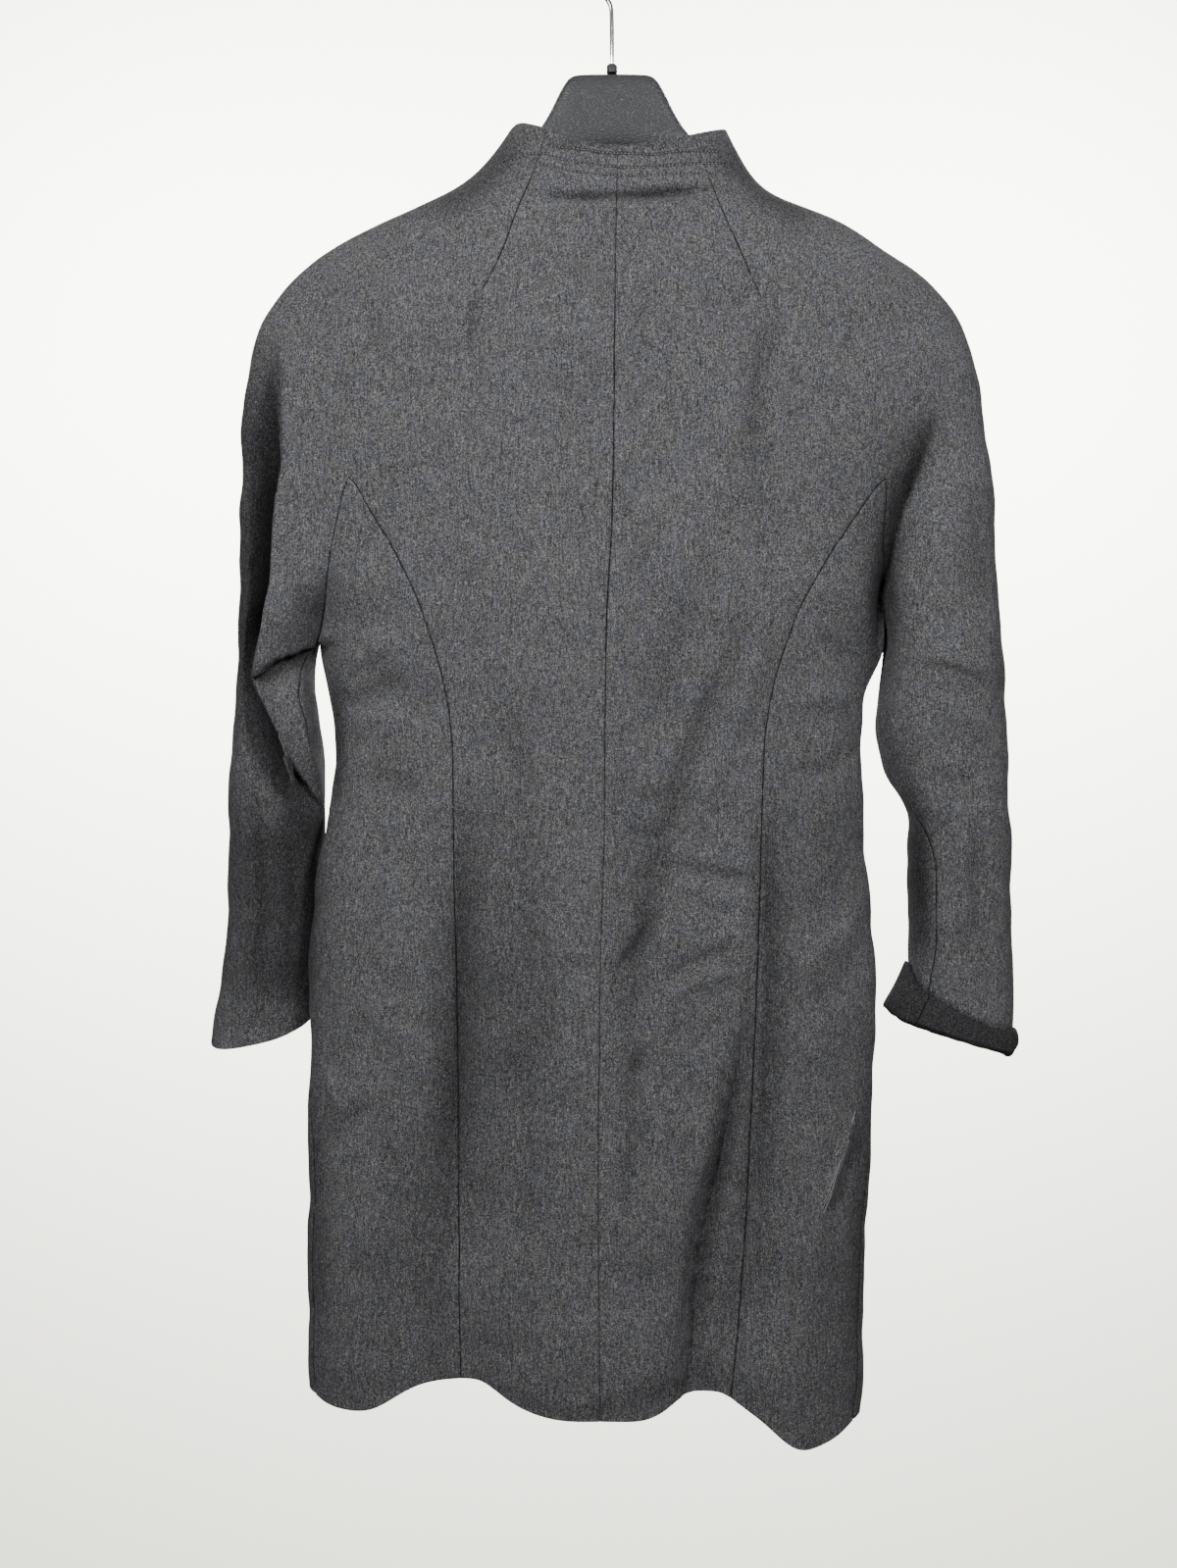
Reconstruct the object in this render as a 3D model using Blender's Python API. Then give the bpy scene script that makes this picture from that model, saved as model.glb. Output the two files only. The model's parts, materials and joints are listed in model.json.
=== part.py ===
"""A coat dress hanging on a contoured hanger, seen from its back.

Lengths are millimetres until a mesh is made. +X is the wearer's right, +Y the wearer's front, +Z up.
The origin is the inside top of the hook, where a rail would carry it, so everything hangs below zero.

Each cloth piece is a wall. Its outer face is a grid of points: rows run round the garment, columns
run down it. The grids of neighbouring pieces share the points of their seam before the seam's gap is
taken off both, so the pieces fit along every seam.
"""
import math

import bmesh
import bpy
from mathutils import Vector

MM = 0.001
CLOTH = 1.6              # wall of coating cloth
SEAM_GAP = 0.3           # between two pieces at a seam
ARMPIT_GAP = 0.9         # where four pieces meet in one point
LAP = 20.0               # each front past the centre front
LAP_CLEARANCE = 0.6      # between the two fronts where they lap

# Columns and rows of the grids.
BACK_COLUMNS = 6         # centre back to neck dart and princess seam
SIDE_COLUMNS = 5         # princess seam to side seam
FRONT_COLUMNS = 5        # centre front to side line
SLEEVE_COLUMNS = 7       # side line to overarm seam
YOKE_ROWS = 12           # neck to the apex of the princess seam
ARMHOLE_ROWS = 5         # apex to armpit
SKIRT_ROWS = 22          # armpit to hem
ARM_ROWS = 13            # armpit to cuff

APEX_Z = -421.0
ARMPIT_Z = -537.0
APEX_DROP = 2.6          # the side back's point is cut off this far below the apex
OVERARM_APEX_Z = -425.0
OVERARM_ARMPIT_Z = -533.0


class Table:
    """Rows of numbers under named columns, read between rows as a smooth curve without overshoot."""

    def __init__(self, names, *rows):
        self.names = names.split()
        self.rows = sorted(rows)

    def at(self, name, key):
        column = self.names.index(name)
        keys = [row[0] for row in self.rows]
        values = [row[column] for row in self.rows]
        if key <= keys[0]:
            return values[0]
        if key >= keys[-1]:
            return values[-1]
        i = max(k for k in range(len(keys) - 1) if keys[k] <= key)
        slopes = [(values[k + 1] - values[k]) / (keys[k + 1] - keys[k]) for k in range(len(keys) - 1)]
        start, end = self.tangent(slopes, i), self.tangent(slopes, i + 1)
        step = keys[i + 1] - keys[i]
        t = (key - keys[i]) / step
        return ((1 + 2 * t) * (1 - t) ** 2 * values[i] + t * (1 - t) ** 2 * step * start
                + t * t * (3 - 2 * t) * values[i + 1] + t * t * (t - 1) * step * end)

    @staticmethod
    def tangent(slopes, i):
        if i == 0 or i == len(slopes):
            return slopes[min(i, len(slopes) - 1)]
        before, after = slopes[i - 1], slopes[i]
        return 0.0 if before * after <= 0 else 2 * before * after / (before + after)


# The whole garment from the back: neck corner, shoulder and the outside of each sleeve.
OUTLINE = Table(
    "z      left    right",
    (-140, -75.5, 86.0), (-150, -80.5, 90.0), (-165, -91.0, 97.0), (-180, -105.0, 107.5),
    (-195, -126.0, 122.0), (-210, -158.0, 155.5), (-225, -192.0, 190.5), (-241, -217.0, 214.5),
    (-256, -238.0, 235.5), (-271, -253.0, 252.0), (-301, -274.5, 272.0), (-347, -285.5, 285.0),
    (-393, -288.8, 290.4), (-438, -288.8, 294.2), (-514, -288.8, 299.0), (-560, -292.6, 301.5),
    (-620, -296.5, 306.0), (-682, -299.5, 307.0), (-742, -303.0, 308.0), (-791, -306.4, 310.5),
    (-822, -313.4, 311.0), (-853, -317.3, 309.5))

# The body below the armpit, and the depth of its back and front from the side seam's plane.
BODY = Table(
    "z       left    right   back  front",
    (-142, -110.0, 110.0, 39.0, 42.0), (-172, -150.0, 150.0, 42.0, 44.0),
    (-212, -200.0, 200.0, 49.0, 50.0), (-287, -220.0, 220.0, 56.0, 56.0),
    (-400, -226.0, 215.0, 59.0, 60.0), (-500, -226.0, 212.0, 59.0, 60.0),
    (-537, -226.0, 211.0, 57.0, 57.0), (-553, -225.0, 206.5, 56.0, 56.0),
    (-577, -220.5, 197.0, 53.0, 53.0), (-610, -214.5, 192.5, 50.0, 50.0),
    (-656, -217.5, 193.0, 47.0, 48.0), (-695, -224.0, 196.0, 47.0, 48.0),
    (-727, -228.7, 199.2, 49.0, 49.0), (-788, -233.0, 204.5, 52.0, 51.0),
    (-864, -233.5, 202.0, 53.0, 52.0), (-1016, -234.0, 195.5, 55.0, 54.0),
    (-1107, -232.5, 194.0, 56.0, 55.0), (-1150, -231.5, 191.5, 56.0, 55.0))
SQUARENESS = 2.3         # of every rounded section; 2 would be an ellipse

# Centre seam, neck dart (its line runs on down to the apex), princess and armhole seams on the back.
CENTRE = Table("z x", (-170, 3.9), (-287, 1.5), (-433, 0.0), (-541, -5.0), (-688, -6.5), (-797, -9.4),
               (-942, -10.9), (-1120, -9.5))
NECK_DART = Table(
    "z      left    right",
    (-153, -51.0, 60.0), (-182, -57.4, 69.5), (-222, -72.4, 83.0), (-254, -83.3, 96.0),
    (-293, -103.0, 113.2), (-330, -128.0, 137.0), (-370, -158.0, 166.0), (-421, -198.0, 205.7))
PRINCESS = Table(
    "z       left    right",
    (-421, -198.0, 205.7), (-445, -183.6, 187.2), (-475, -164.7, 166.0), (-512, -146.4, 144.4),
    (-541, -135.5, 132.0), (-578, -126.0, 121.0), (-614, -120.6, 115.0), (-651, -119.2, 113.0),
    (-724, -119.0, 111.5), (-798, -117.4, 108.2), (-908, -116.0, 103.0), (-1004, -114.8, 97.2),
    (-1140, -113.8, 86.0))
ARMHOLE = Table("z left right", (-421, -198.0, 205.7), (-445, -205.8, 207.3), (-473, -212.0, 207.6),
                (-514, -220.0, 208.5), (-537, -226.0, 211.0))
FRONT_SIDE = Table("z left right", (-158, -48.0, 56.0), (-300, -130.0, 130.0), (-421, -198.0, 200.0),
                   (-480, -213.0, 207.0), (-514, -220.0, 208.5), (-537, -226.0, 211.0))

# The crease where body and sleeve part above each armpit, and how far it has opened (0 to 1).
CREASE = Table(
    "z      left    right  left_open right_open",
    (-370, -236.0, 246.0, 0.0, 0.0), (-405, -234.0, 236.0, 0.0, 0.28), (-440, -228.0, 223.0, 0.04, 0.50),
    (-480, -220.0, 212.5, 0.22, 0.64), (-514, -220.0, 208.5, 0.58, 0.76), (-537, -226.0, 211.0, 1.0, 1.0))

# The sleeves below the armpit: inner edge, depths, and the underarm seam where it really lies.
SLEEVES = {
    "left": Table(
        "z      inner   middle back  front",
        (-421, -226.0, 0.0, 48.0, 46.0), (-537, -226.0, 0.0, 47.0, 46.0), (-560, -231.5, 2.0, 44.0, 44.0),
        (-600, -227.0, 8.0, 42.0, 40.0), (-650, -222.0, 16.0, 36.0, 34.0), (-700, -226.0, 25.0, 30.0, 31.0),
        (-760, -231.0, 32.0, 27.0, 29.0), (-853, -236.0, 36.0, 26.0, 27.0)),
    "right": Table(
        "z      inner   middle back  front",
        (-421, 211.0, 0.0, 48.0, 46.0), (-537, 211.0, 0.0, 47.0, 46.0), (-558, 210.5, 0.0, 45.0, 45.0),
        (-600, 205.0, 0.0, 42.0, 42.0), (-629, 210.0, 0.0, 40.0, 40.0), (-651, 218.0, 0.0, 38.0, 38.0),
        (-675, 230.0, 0.0, 36.0, 36.0), (-712, 230.0, 1.0, 33.0, 33.0), (-772, 229.6, 1.0, 30.0, 30.0),
        (-840, 229.0, 1.0, 27.0, 27.0))}
UNDERARM = {
    "left": Table(
        "z      x       y",
        (-537, -226.0, 0.0), (-560, -235.5, -17.0), (-582, -237.5, -33.0), (-592, -234.0, -34.0),
        (-610, -229.0, -32.0), (-632, -226.5, -26.0), (-656, -224.0, -10.0), (-671, -222.5, 4.0),
        (-700, -226.0, 25.0), (-760, -231.0, 32.0), (-853, -236.0, 36.0)),
    "right": Table(
        "z      x       y",
        (-537, 211.0, 0.0), (-558, 210.5, 0.0), (-600, 205.0, 0.0), (-629, 210.5, 0.0),
        (-651, 219.0, -4.0), (-675, 233.0, -17.0), (-690, 240.0, -23.0), (-712, 246.0, -27.0),
        (-772, 246.5, -25.5), (-800, 242.0, -22.0), (-840, 238.0, -18.0))}
CUFF_END = {"left": {"inner": -831.0, "outer": -853.5, "bow": -12.0},
            "right": {"inner": -820.0, "outer": -846.0, "bow": -5.0}}

# The left sleeve is twisted: its upper back hangs as a flap whose edge folds under. The row at each
# height gives the edge, how far it stands out, the tuck behind it, how deep that lies, and the hold
# of the fold over the plain section (0 to 1).
TWIST = Table(
    "z      edge    out   tuck    sink  hold",
    (-230, -205.0, 0.0, -216.0, 0.0, 0.0), (-300, -246.0, 0.0, -256.0, 0.0, 0.75),
    (-320, -252.0, 0.0, -261.0, 0.0, 1.0), (-345, -253.5, 1.0, -259.0, 8.0, 1.0),
    (-375, -252.5, 2.0, -252.0, 26.0, 1.0), (-431, -255.0, 3.0, -246.0, 40.0, 1.0),
    (-504, -260.0, 4.0, -247.0, 46.0, 1.0), (-548, -266.0, 6.0, -249.0, 48.0, 1.0),
    (-572, -269.0, 6.0, -250.0, 46.0, 1.0), (-600, -257.5, 8.0, -241.0, 38.0, 1.0),
    (-628, -248.0, 9.0, -236.0, 28.0, 1.0), (-650, -239.0, 8.0, -236.0, 18.0, 0.8),
    (-672, -233.0, 4.0, -240.0, 6.0, 0.35), (-694, -234.0, 0.0, -246.0, 0.0, 0.0))

# The flap ends in a pouch: how far each of its columns sags below the armpit, and how much of that
# the rows above and below it follow.
POUCH_SAG = (0.0, -6.0, -16.0, -29.0, -25.0, -13.0, -4.0, 0.0)
POUCH_ABOVE = (0.0, 0.04, 0.16, 0.36, 0.64)
POUCH_BELOW = (1.0, 0.46, 0.2, 0.06)

# The neck edge and the hem. "out" is how far a flute of the skirt stands off the plain section.
NECK = Table(
    "x      back    front",
    (-75.5, -140.3, -140.3), (-70.0, -145.0, -147.0), (-52.0, -153.2, -160.0), (-28.0, -165.5, -172.0),
    (-8.0, -169.0, -177.0), (3.9, -169.8, -178.0), (16.0, -169.0, -177.0), (33.5, -166.0, -172.0),
    (60.0, -159.0, -163.0), (80.0, -151.5, -152.0), (88.4, -146.3, -146.3))
NECK_CORNER_X = {"left": -75.5, "right": 88.4}
CENTRE_TOP_Z = -170.0
DART_TOP_Z = -153.0
FRONT_SIDE_TOP_Z = -158.0
BACK_HEM = Table(
    "x      z        out",
    (-234, -1115.0, 0.0), (-206, -1124.0, 3.0), (-179, -1119.5, 3.0), (-164, -1114.0, -2.0),
    (-143, -1101.0, -9.0), (-118, -1097.5, -10.0), (-95, -1099.5, -4.0), (-82, -1107.0, 2.0),
    (-64, -1115.0, 8.0), (-31, -1120.5, 14.0), (16, -1121.0, 14.0), (46, -1113.0, 5.0),
    (58, -1105.5, -3.0), (71, -1106.5, -8.0), (87, -1111.0, -9.0), (99, -1116.0, -4.0),
    (112, -1128.0, 4.0), (130, -1146.0, 12.0), (145, -1149.0, 13.0), (165, -1146.5, 8.0),
    (181, -1136.5, 3.0), (194, -1135.0, 0.0))
FRONT_HEM = Table(
    "x      z        out",
    (-234, -1115.0, 0.0), (-190, -1118.0, 6.0), (-140, -1112.0, -6.0), (-90, -1118.0, 6.0),
    (-30, -1124.0, 2.0), (40, -1126.0, 3.0), (90, -1122.0, -6.0), (140, -1132.0, 7.0),
    (194, -1135.0, 0.0))
FLUTE_TOP_Z = -680.0
FLUTE_GROWTH = 1.35

# The side seams lie this far round the back of the section, in degrees.
SIDE_SEAM_TURN = Table("z left right", (-537, 0.0, 0.0), (-860, 3.0, 3.0), (-940, 13.0, 9.0),
                       (-1130, 13.0, 17.0))

# The turned-back right cuff: its upper edge and its fold, by x, and its section at both.
CUFF_EDGE = Table("x top bottom", (210, -786.0, -822.0), (218, -787.5, -827.5), (227, -789.0, -831.0),
                  (231, -801.0, -832.0), (238, -810.0, -834.5), (252, -819.0, -839.0), (268, -829.0, -844.0),
                  (292, -837.0, -851.5), (304, -839.0, -855.0), (316, -840.0, -848.0))
CUFF_SECTIONS = Table("level left right middle depth", (0, 227.0, 312.6, 1.0, 30.3),
                      (1, 218.5, 314.0, 0.0, 33.0), (2, 210.0, 313.4, -1.0, 35.0),
                      (3, 216.0, 310.0, 0.0, 31.5))
CUFF_COLUMNS = 28

BUTTONS = 7
BUTTON_TOP_Z = -212.0
BUTTON_PITCH = 106.0
BUTTON_RADIUS = 11.0
BUTTON_THICK = 3.6
BUTTON_SEAT = 0.55       # clear of the cloth, which is curved under the flat button
BUTTON_SIDES = 20

# The hanger: upper and lower edge and half thickness along each arm, and its sweep to the front.
HANGER = Table(
    "x      top     bottom  half  sweep",
    (0, -100.2, -160.0, 11.0, 0.0), (20, -100.2, -161.0, 11.0, 0.0), (30, -101.0, -164.0, 11.0, 0.0),
    (34, -104.0, -165.0, 11.0, 0.0), (38, -109.5, -167.0, 11.0, 0.0), (43, -119.5, -169.0, 11.2, 0.0),
    (48, -130.5, -171.0, 11.5, 0.0), (55, -142.5, -175.0, 12.0, 0.0), (66, -156.0, -182.0, 12.5, 0.0),
    (82, -168.5, -194.0, 13.0, 0.0), (102, -184.5, -211.0, 13.0, 0.0), (125, -199.5, -227.0, 14.0, 0.5),
    (150, -210.5, -241.0, 16.0, 1.0), (175, -221.5, -254.0, 18.0, 1.0), (197, -234.0, -265.0, 19.0, 1.0),
    (210, -245.0, -270.0, 17.0, 1.0), (217, -254.0, -268.0, 11.0, 1.0))
HANGER_SIDES = 14
HANGER_SQUARENESS = 2.3

WIRE_RADIUS = 1.95
HOOK_RADIUS = 19.0       # inside of the arc
HOOK_TIP_ANGLE = -52.0   # below the level on the far side
STEM_TOP_Z = -52.0
BOSS_RADIUS = 4.2
BOSS_HEIGHT = 6.6
BOSS_SIDES = 20
WIRE_SIDES = 10


def mix(a, b, t):
    return a + (b - a) * t


def smooth(t):
    t = min(max(t, 0.0), 1.0)
    return t * t * (3 - 2 * t)


def signed_power(value, exponent):
    return math.copysign(abs(value) ** exponent, value)


def section_height(x, left, right):
    """Height (0 to 1) of a rounded section over the point x of its base."""
    t = min(abs((2 * x - left - right) / (right - left)), 1.0)
    return (1 - t ** SQUARENESS) ** (1 / SQUARENESS)


def section_point(angle, left, right, back, front):
    """Point of a rounded section: 0 at its right end, 90 degrees at its back, 180 at its left end."""
    across = signed_power(math.cos(angle), 2 / SQUARENESS)
    deep = signed_power(math.sin(angle), 2 / SQUARENESS)
    return (left + right) / 2 + (right - left) / 2 * across, -deep * (back if deep > 0 else front)


def section_angle(x, left, right):
    """Angle on the back of a rounded section at which it lies over x."""
    t = max(-1.0, min(1.0, (2 * x - left - right) / (right - left)))
    return math.acos(signed_power(t, SQUARENESS / 2))


def hem(face, x):
    return (BACK_HEM if face == "back" else FRONT_HEM).at("z", x)


def flute(face, x, z):
    """How far the skirt's flutes stand off the plain section."""
    reach = max(0.0, (FLUTE_TOP_Z - z) / (FLUTE_TOP_Z + 1120.0))
    return (BACK_HEM if face == "back" else FRONT_HEM).at("out", x) * reach ** FLUTE_GROWTH


def yoke_depth(face, x, z):
    """Depth of back or front above the armpit, where body and sleeve part along a crease."""
    side = "left" if x < 0 else "right"
    outline = OUTLINE.at("left", z), OUTLINE.at("right", z)
    crease = CREASE.at("left", z), CREASE.at("right", z)
    depth = BODY.at(face, z)
    whole = depth * section_height(x, *outline)
    if x < crease[0]:
        parted = SLEEVES["left"].at(face, z) * section_height(x, outline[0], crease[0])
    elif x > crease[1]:
        parted = SLEEVES["right"].at(face, z) * section_height(x, crease[1], outline[1])
    else:
        parted = depth * section_height(x, *crease)
    return mix(whole, parted, CREASE.at(side + "_open", z))


def yoke_point(face, x, z):
    depth = yoke_depth(face, x, z)
    return Vector((x, -depth if face == "back" else depth, z))


def body_point(angle, z):
    """Point of the body's section below the armpit; the angle runs as in section_point."""
    x, y = section_point(angle, BODY.at("left", z), BODY.at("right", z), BODY.at("back", z),
                         BODY.at("front", z))
    face = "back" if y < 0 else "front"
    swell = flute(face, x, z) * abs(math.sin(angle))
    return Vector((x, y - swell if face == "back" else y + swell, z))


def skirt_z(face, x, row):
    return mix(ARMPIT_Z, hem(face, x), row / SKIRT_ROWS)


# ---------------------------------------------------------------- seams, one point for each row

def overarm_levels(side):
    """Height of the overarm seam at each row from the neck corner to the cuff."""
    top = NECK.at("back", NECK_CORNER_X[side])
    steps = 400
    levels = [mix(top, OVERARM_APEX_Z, i / steps) for i in range(steps + 1)]
    run = [0.0]
    for upper, lower in zip(levels, levels[1:]):
        run.append(run[-1] + math.hypot(OUTLINE.at(side, lower) - OUTLINE.at(side, upper), lower - upper))
    yoke = []
    for row in range(YOKE_ROWS + 1):
        target = run[-1] * row / YOKE_ROWS
        yoke.append(next(level for level, length in zip(levels, run) if length >= target - 1e-6))
    armhole = [mix(OVERARM_APEX_Z, OVERARM_ARMPIT_Z, r / ARMHOLE_ROWS) for r in range(1, ARMHOLE_ROWS + 1)]
    end = CUFF_END[side]["outer"]
    arm = [mix(OVERARM_ARMPIT_Z, end, r / ARM_ROWS) for r in range(1, ARM_ROWS + 1)]
    return yoke + armhole + arm


def overarm_point(side, level):
    middle = SLEEVES[side].at("middle", level) if level < ARMPIT_Z else 0.0
    return Vector((OUTLINE.at(side, level), middle, level))


def armhole_levels():
    return [mix(APEX_Z, ARMPIT_Z, r / ARMHOLE_ROWS) for r in range(ARMHOLE_ROWS + 1)]


def underarm_point(side, row):
    z = mix(ARMPIT_Z, CUFF_END[side]["inner"], row / ARM_ROWS)
    seam = UNDERARM[side]
    return Vector((seam.at("x", z), seam.at("y", z), z))


def side_seam_angle(side, z):
    turn = math.radians(SIDE_SEAM_TURN.at(side, z))
    return math.pi - turn if side == "left" else turn


# ---------------------------------------------------------------- grids of the outer faces

def sleeve_spread(column, opened):
    """Share of the way from side line to overarm, closer together where the section turns."""
    turn = column / SLEEVE_COLUMNS
    whole = math.sin(turn * math.pi / 2)
    parted = (1 - signed_power(math.cos(turn * math.pi), 2 / SQUARENESS)) / 2
    return mix(whole, parted, opened)


def back_yoke_row(side, row):
    share = row / YOKE_ROWS
    dart_top = NECK.at("back", NECK_DART.at(side, DART_TOP_Z))
    points = []
    for column in range(BACK_COLUMNS + 1):
        spread = column / BACK_COLUMNS
        top_x = mix(CENTRE.at("x", CENTRE_TOP_Z), NECK_DART.at(side, dart_top), spread)
        z = mix(NECK.at("back", top_x), APEX_Z, share)
        dart_z = mix(dart_top, APEX_Z, share)
        points.append(yoke_point("back", mix(CENTRE.at("x", z), NECK_DART.at(side, dart_z), spread), z))
    return points


def sleeve_yoke_row(face, side, inner, outer, row):
    """Row of the sleeve's block above the armpit, from the side line to the overarm seam."""
    opened = CREASE.at(side + "_open", inner.z)
    neck_start = NECK_DART.at(side, DART_TOP_Z) if face == "back" else FRONT_SIDE.at(side, FRONT_SIDE_TOP_Z)
    corner = NECK_CORNER_X[side]
    points = [inner]
    for column in range(1, SLEEVE_COLUMNS):
        spread = sleeve_spread(column, opened)
        neck_x = mix(neck_start, corner, spread)
        straight = mix(NECK.at(face, neck_start), NECK.at(face, corner), spread)
        bend = (NECK.at(face, neck_x) - straight) * max(0.0, 1 - row / 4)
        z = mix(inner.z, outer.z, spread) + bend + sag(face, side, column, row - YOKE_ROWS, POUCH_ABOVE)
        points.append(yoke_point(face, mix(inner.x, outer.x, spread), z))
    points.append(outer)
    if face == "back" and side == "left":
        points = twist(points, lambda x, level: yoke_point("back", x, level).y)
    return points


def sleeve_arm_row(face, side, row, level):
    """Row of the sleeve below the armpit, from the underarm seam round to the overarm seam."""
    inner, outer = underarm_point(side, row), overarm_point(side, level)
    end, sleeve = CUFF_END[side], SLEEVES[side]
    share = row / ARM_ROWS
    mirror = -1 if side == "left" else 1

    def section(z):
        edges = mirror * sleeve.at("inner", z), mirror * OUTLINE.at(side, z)
        return edges + (sleeve.at("back", z), sleeve.at("front", z))

    start = section_angle(mirror * inner.x, *section(inner.z)[:2])
    if row == 0:
        start = math.pi
    stop = 0.0 if face == "back" else 2 * math.pi
    points = []
    for column in range(SLEEVE_COLUMNS + 1):
        turn = column / SLEEVE_COLUMNS
        angle = mix(start, stop, turn)
        spread = (1 - math.cos(turn * math.pi)) / 2
        z = mix(inner.z, outer.z, spread) + end["bow"] * share ** 3 * math.sin(turn * math.pi)
        z += sag(face, side, column, row, POUCH_BELOW)
        x, y = section_point(angle, *section(z))
        points.append(Vector((mirror * x, sleeve.at("middle", z) + y, z)))
    lift = inner - points[0]
    for column, point in enumerate(points):
        point += lift * (1 - column / SLEEVE_COLUMNS) ** 3
    points[0], points[-1] = inner, outer
    if face == "back" and side == "left":
        def plain(x, z):
            left, right, back, _ = section(z)
            return sleeve.at("middle", z) - back * section_height(mirror * x, left, right)
        points = twist(points, plain)
    return points


def sag(face, side, column, row, share):
    """Drop of the left sleeve's pouch at one column of one row."""
    in_pouch = face == "back" and side == "left" and 0 <= row < len(share)
    return POUCH_SAG[column] * share[row] if in_pouch else 0.0


def twist(points, plain):
    """Lay the left sleeve's flap: columns 1 and 2 up to its edge, 3 the edge, 4 the tuck, 5 and 6 past it."""
    z = (points[3].z + points[4].z) / 2
    hold = TWIST.at("hold", z)
    if hold == 0:
        return points
    edge, tuck, sink = TWIST.at("edge", z), TWIST.at("tuck", z), TWIST.at("sink", z)
    inner, outer = points[0], points[-1]
    rise = inner.y - plain(inner.x, inner.z)
    laid = [inner]
    for column, share in ((1, 0.26), (2, 0.62)):
        x = mix(inner.x, edge, share)
        laid.append(Vector((x, plain(x, z) + rise * (1 - share), points[column].z)))
    laid.append(Vector((edge, plain(edge, z) - TWIST.at("out", z), points[3].z)))
    laid.append(Vector((tuck, plain(tuck, z) + sink, points[4].z)))
    for column, share, sunk in ((5, 0.42, 0.82), (6, 0.8, 0.36)):
        x = mix(tuck, outer.x, share)
        laid.append(Vector((x, plain(x, z) + sink * sunk, points[column].z)))
    laid.append(outer)
    return [point.lerp(new, hold) for point, new in zip(points, laid)]


def back_grids(side):
    """Back panel cut in one with the back half of its sleeve."""
    levels = overarm_levels(side)
    body, sleeve = [], []
    for row in range(YOKE_ROWS + 1):
        body.append(back_yoke_row(side, row))
        sleeve.append(sleeve_yoke_row("back", side, body[-1][-1], overarm_point(side, levels[row]), row))
    for row, z in enumerate(armhole_levels()[1:], start=1):
        ends = CENTRE.at("x", z), PRINCESS.at(side, z)
        body.append([yoke_point("back", mix(*ends, c / BACK_COLUMNS), z)
                     for c in range(BACK_COLUMNS + 1)])
        if row < ARMHOLE_ROWS:
            sleeve.append(sleeve_yoke_row("back", side, yoke_point("back", ARMHOLE.at(side, z), z),
                                          overarm_point(side, levels[YOKE_ROWS + row]), YOKE_ROWS + row))
    for row in range(1, SKIRT_ROWS + 1):
        body.append([back_skirt_point(side, row, c / BACK_COLUMNS)
                     for c in range(BACK_COLUMNS + 1)])
    for row in range(ARM_ROWS + 1):
        sleeve.append(sleeve_arm_row("back", side, row, levels[YOKE_ROWS + ARMHOLE_ROWS + row]))
    return [body, sleeve]


def on_back(x, z):
    """Point of the body's back below the armpit over x."""
    return body_point(section_angle(x, BODY.at("left", z), BODY.at("right", z)), z)


def settle_on_hem(face, point_at, row):
    """Point of a skirt row whose height follows the hem under it."""
    z = mix(ARMPIT_Z, -1120.0, row / SKIRT_ROWS)
    for _ in range(3):
        point = point_at(z)
        z = skirt_z(face, point.x, row)
    return point_at(z)


def back_skirt_point(side, row, spread):
    return settle_on_hem("back", lambda z: on_back(mix(CENTRE.at("x", z), PRINCESS.at(side, z), spread), z),
                         row)


def side_back_grids(side):
    """Side back panel, from its point at the armhole down to the hem."""
    rows = []
    for row, z in enumerate(armhole_levels()):
        z = z - APEX_DROP if row == 0 else z
        ends = PRINCESS.at(side, z), ARMHOLE.at(side, z)
        rows.append([yoke_point("back", mix(*ends, math.sin(c / SIDE_COLUMNS * math.pi / 2)), z)
                     if row == ARMHOLE_ROWS else yoke_point("back", mix(*ends, c / SIDE_COLUMNS), z)
                     for c in range(SIDE_COLUMNS + 1)])
    for row in range(1, SKIRT_ROWS + 1):
        rows.append([side_skirt_point(side, row, c / SIDE_COLUMNS) for c in range(SIDE_COLUMNS + 1)])
    return [rows]


def side_skirt_point(side, row, share):
    def point_at(z):
        start = section_angle(PRINCESS.at(side, z), BODY.at("left", z), BODY.at("right", z))
        return body_point(mix(start, side_seam_angle(side, z), share), z)
    return settle_on_hem("back", point_at, row)


def front_columns(side, z, far_x):
    """x of the front's columns from past the centre front to the side line."""
    out = -1 if side == "left" else 1
    centre = CENTRE.at("x", z)
    near = [centre - out * LAP, centre + out * min(LAP + 2.0, abs(far_x - centre) * 0.45)]
    rest = FRONT_COLUMNS - 1
    return near + [mix(near[1], far_x, math.sin(c / rest * math.pi / 2) ** 0.8) for c in range(1, rest + 1)]


def lap_sink(side, column):
    """The left front lies under the right one."""
    return CLOTH + LAP_CLEARANCE if side == "left" and column < 2 else 0.0


def front_yoke_row(side, row_share, side_z, side_x):
    top_side = NECK.at("front", FRONT_SIDE.at(side, FRONT_SIDE_TOP_Z))
    points = []
    for column in range(FRONT_COLUMNS + 1):
        top_x = front_columns(side, CENTRE_TOP_Z, FRONT_SIDE.at(side, top_side))[column]
        z = mix(NECK.at("front", top_x), ARMPIT_Z, row_share)
        if column == FRONT_COLUMNS:
            points.append(yoke_point("front", side_x, side_z))
            continue
        z = mix(z, side_z, (column / FRONT_COLUMNS) ** 3)
        point = yoke_point("front", front_columns(side, z, side_x)[column], z)
        point.y -= lap_sink(side, column)
        points.append(point)
    return points


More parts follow.
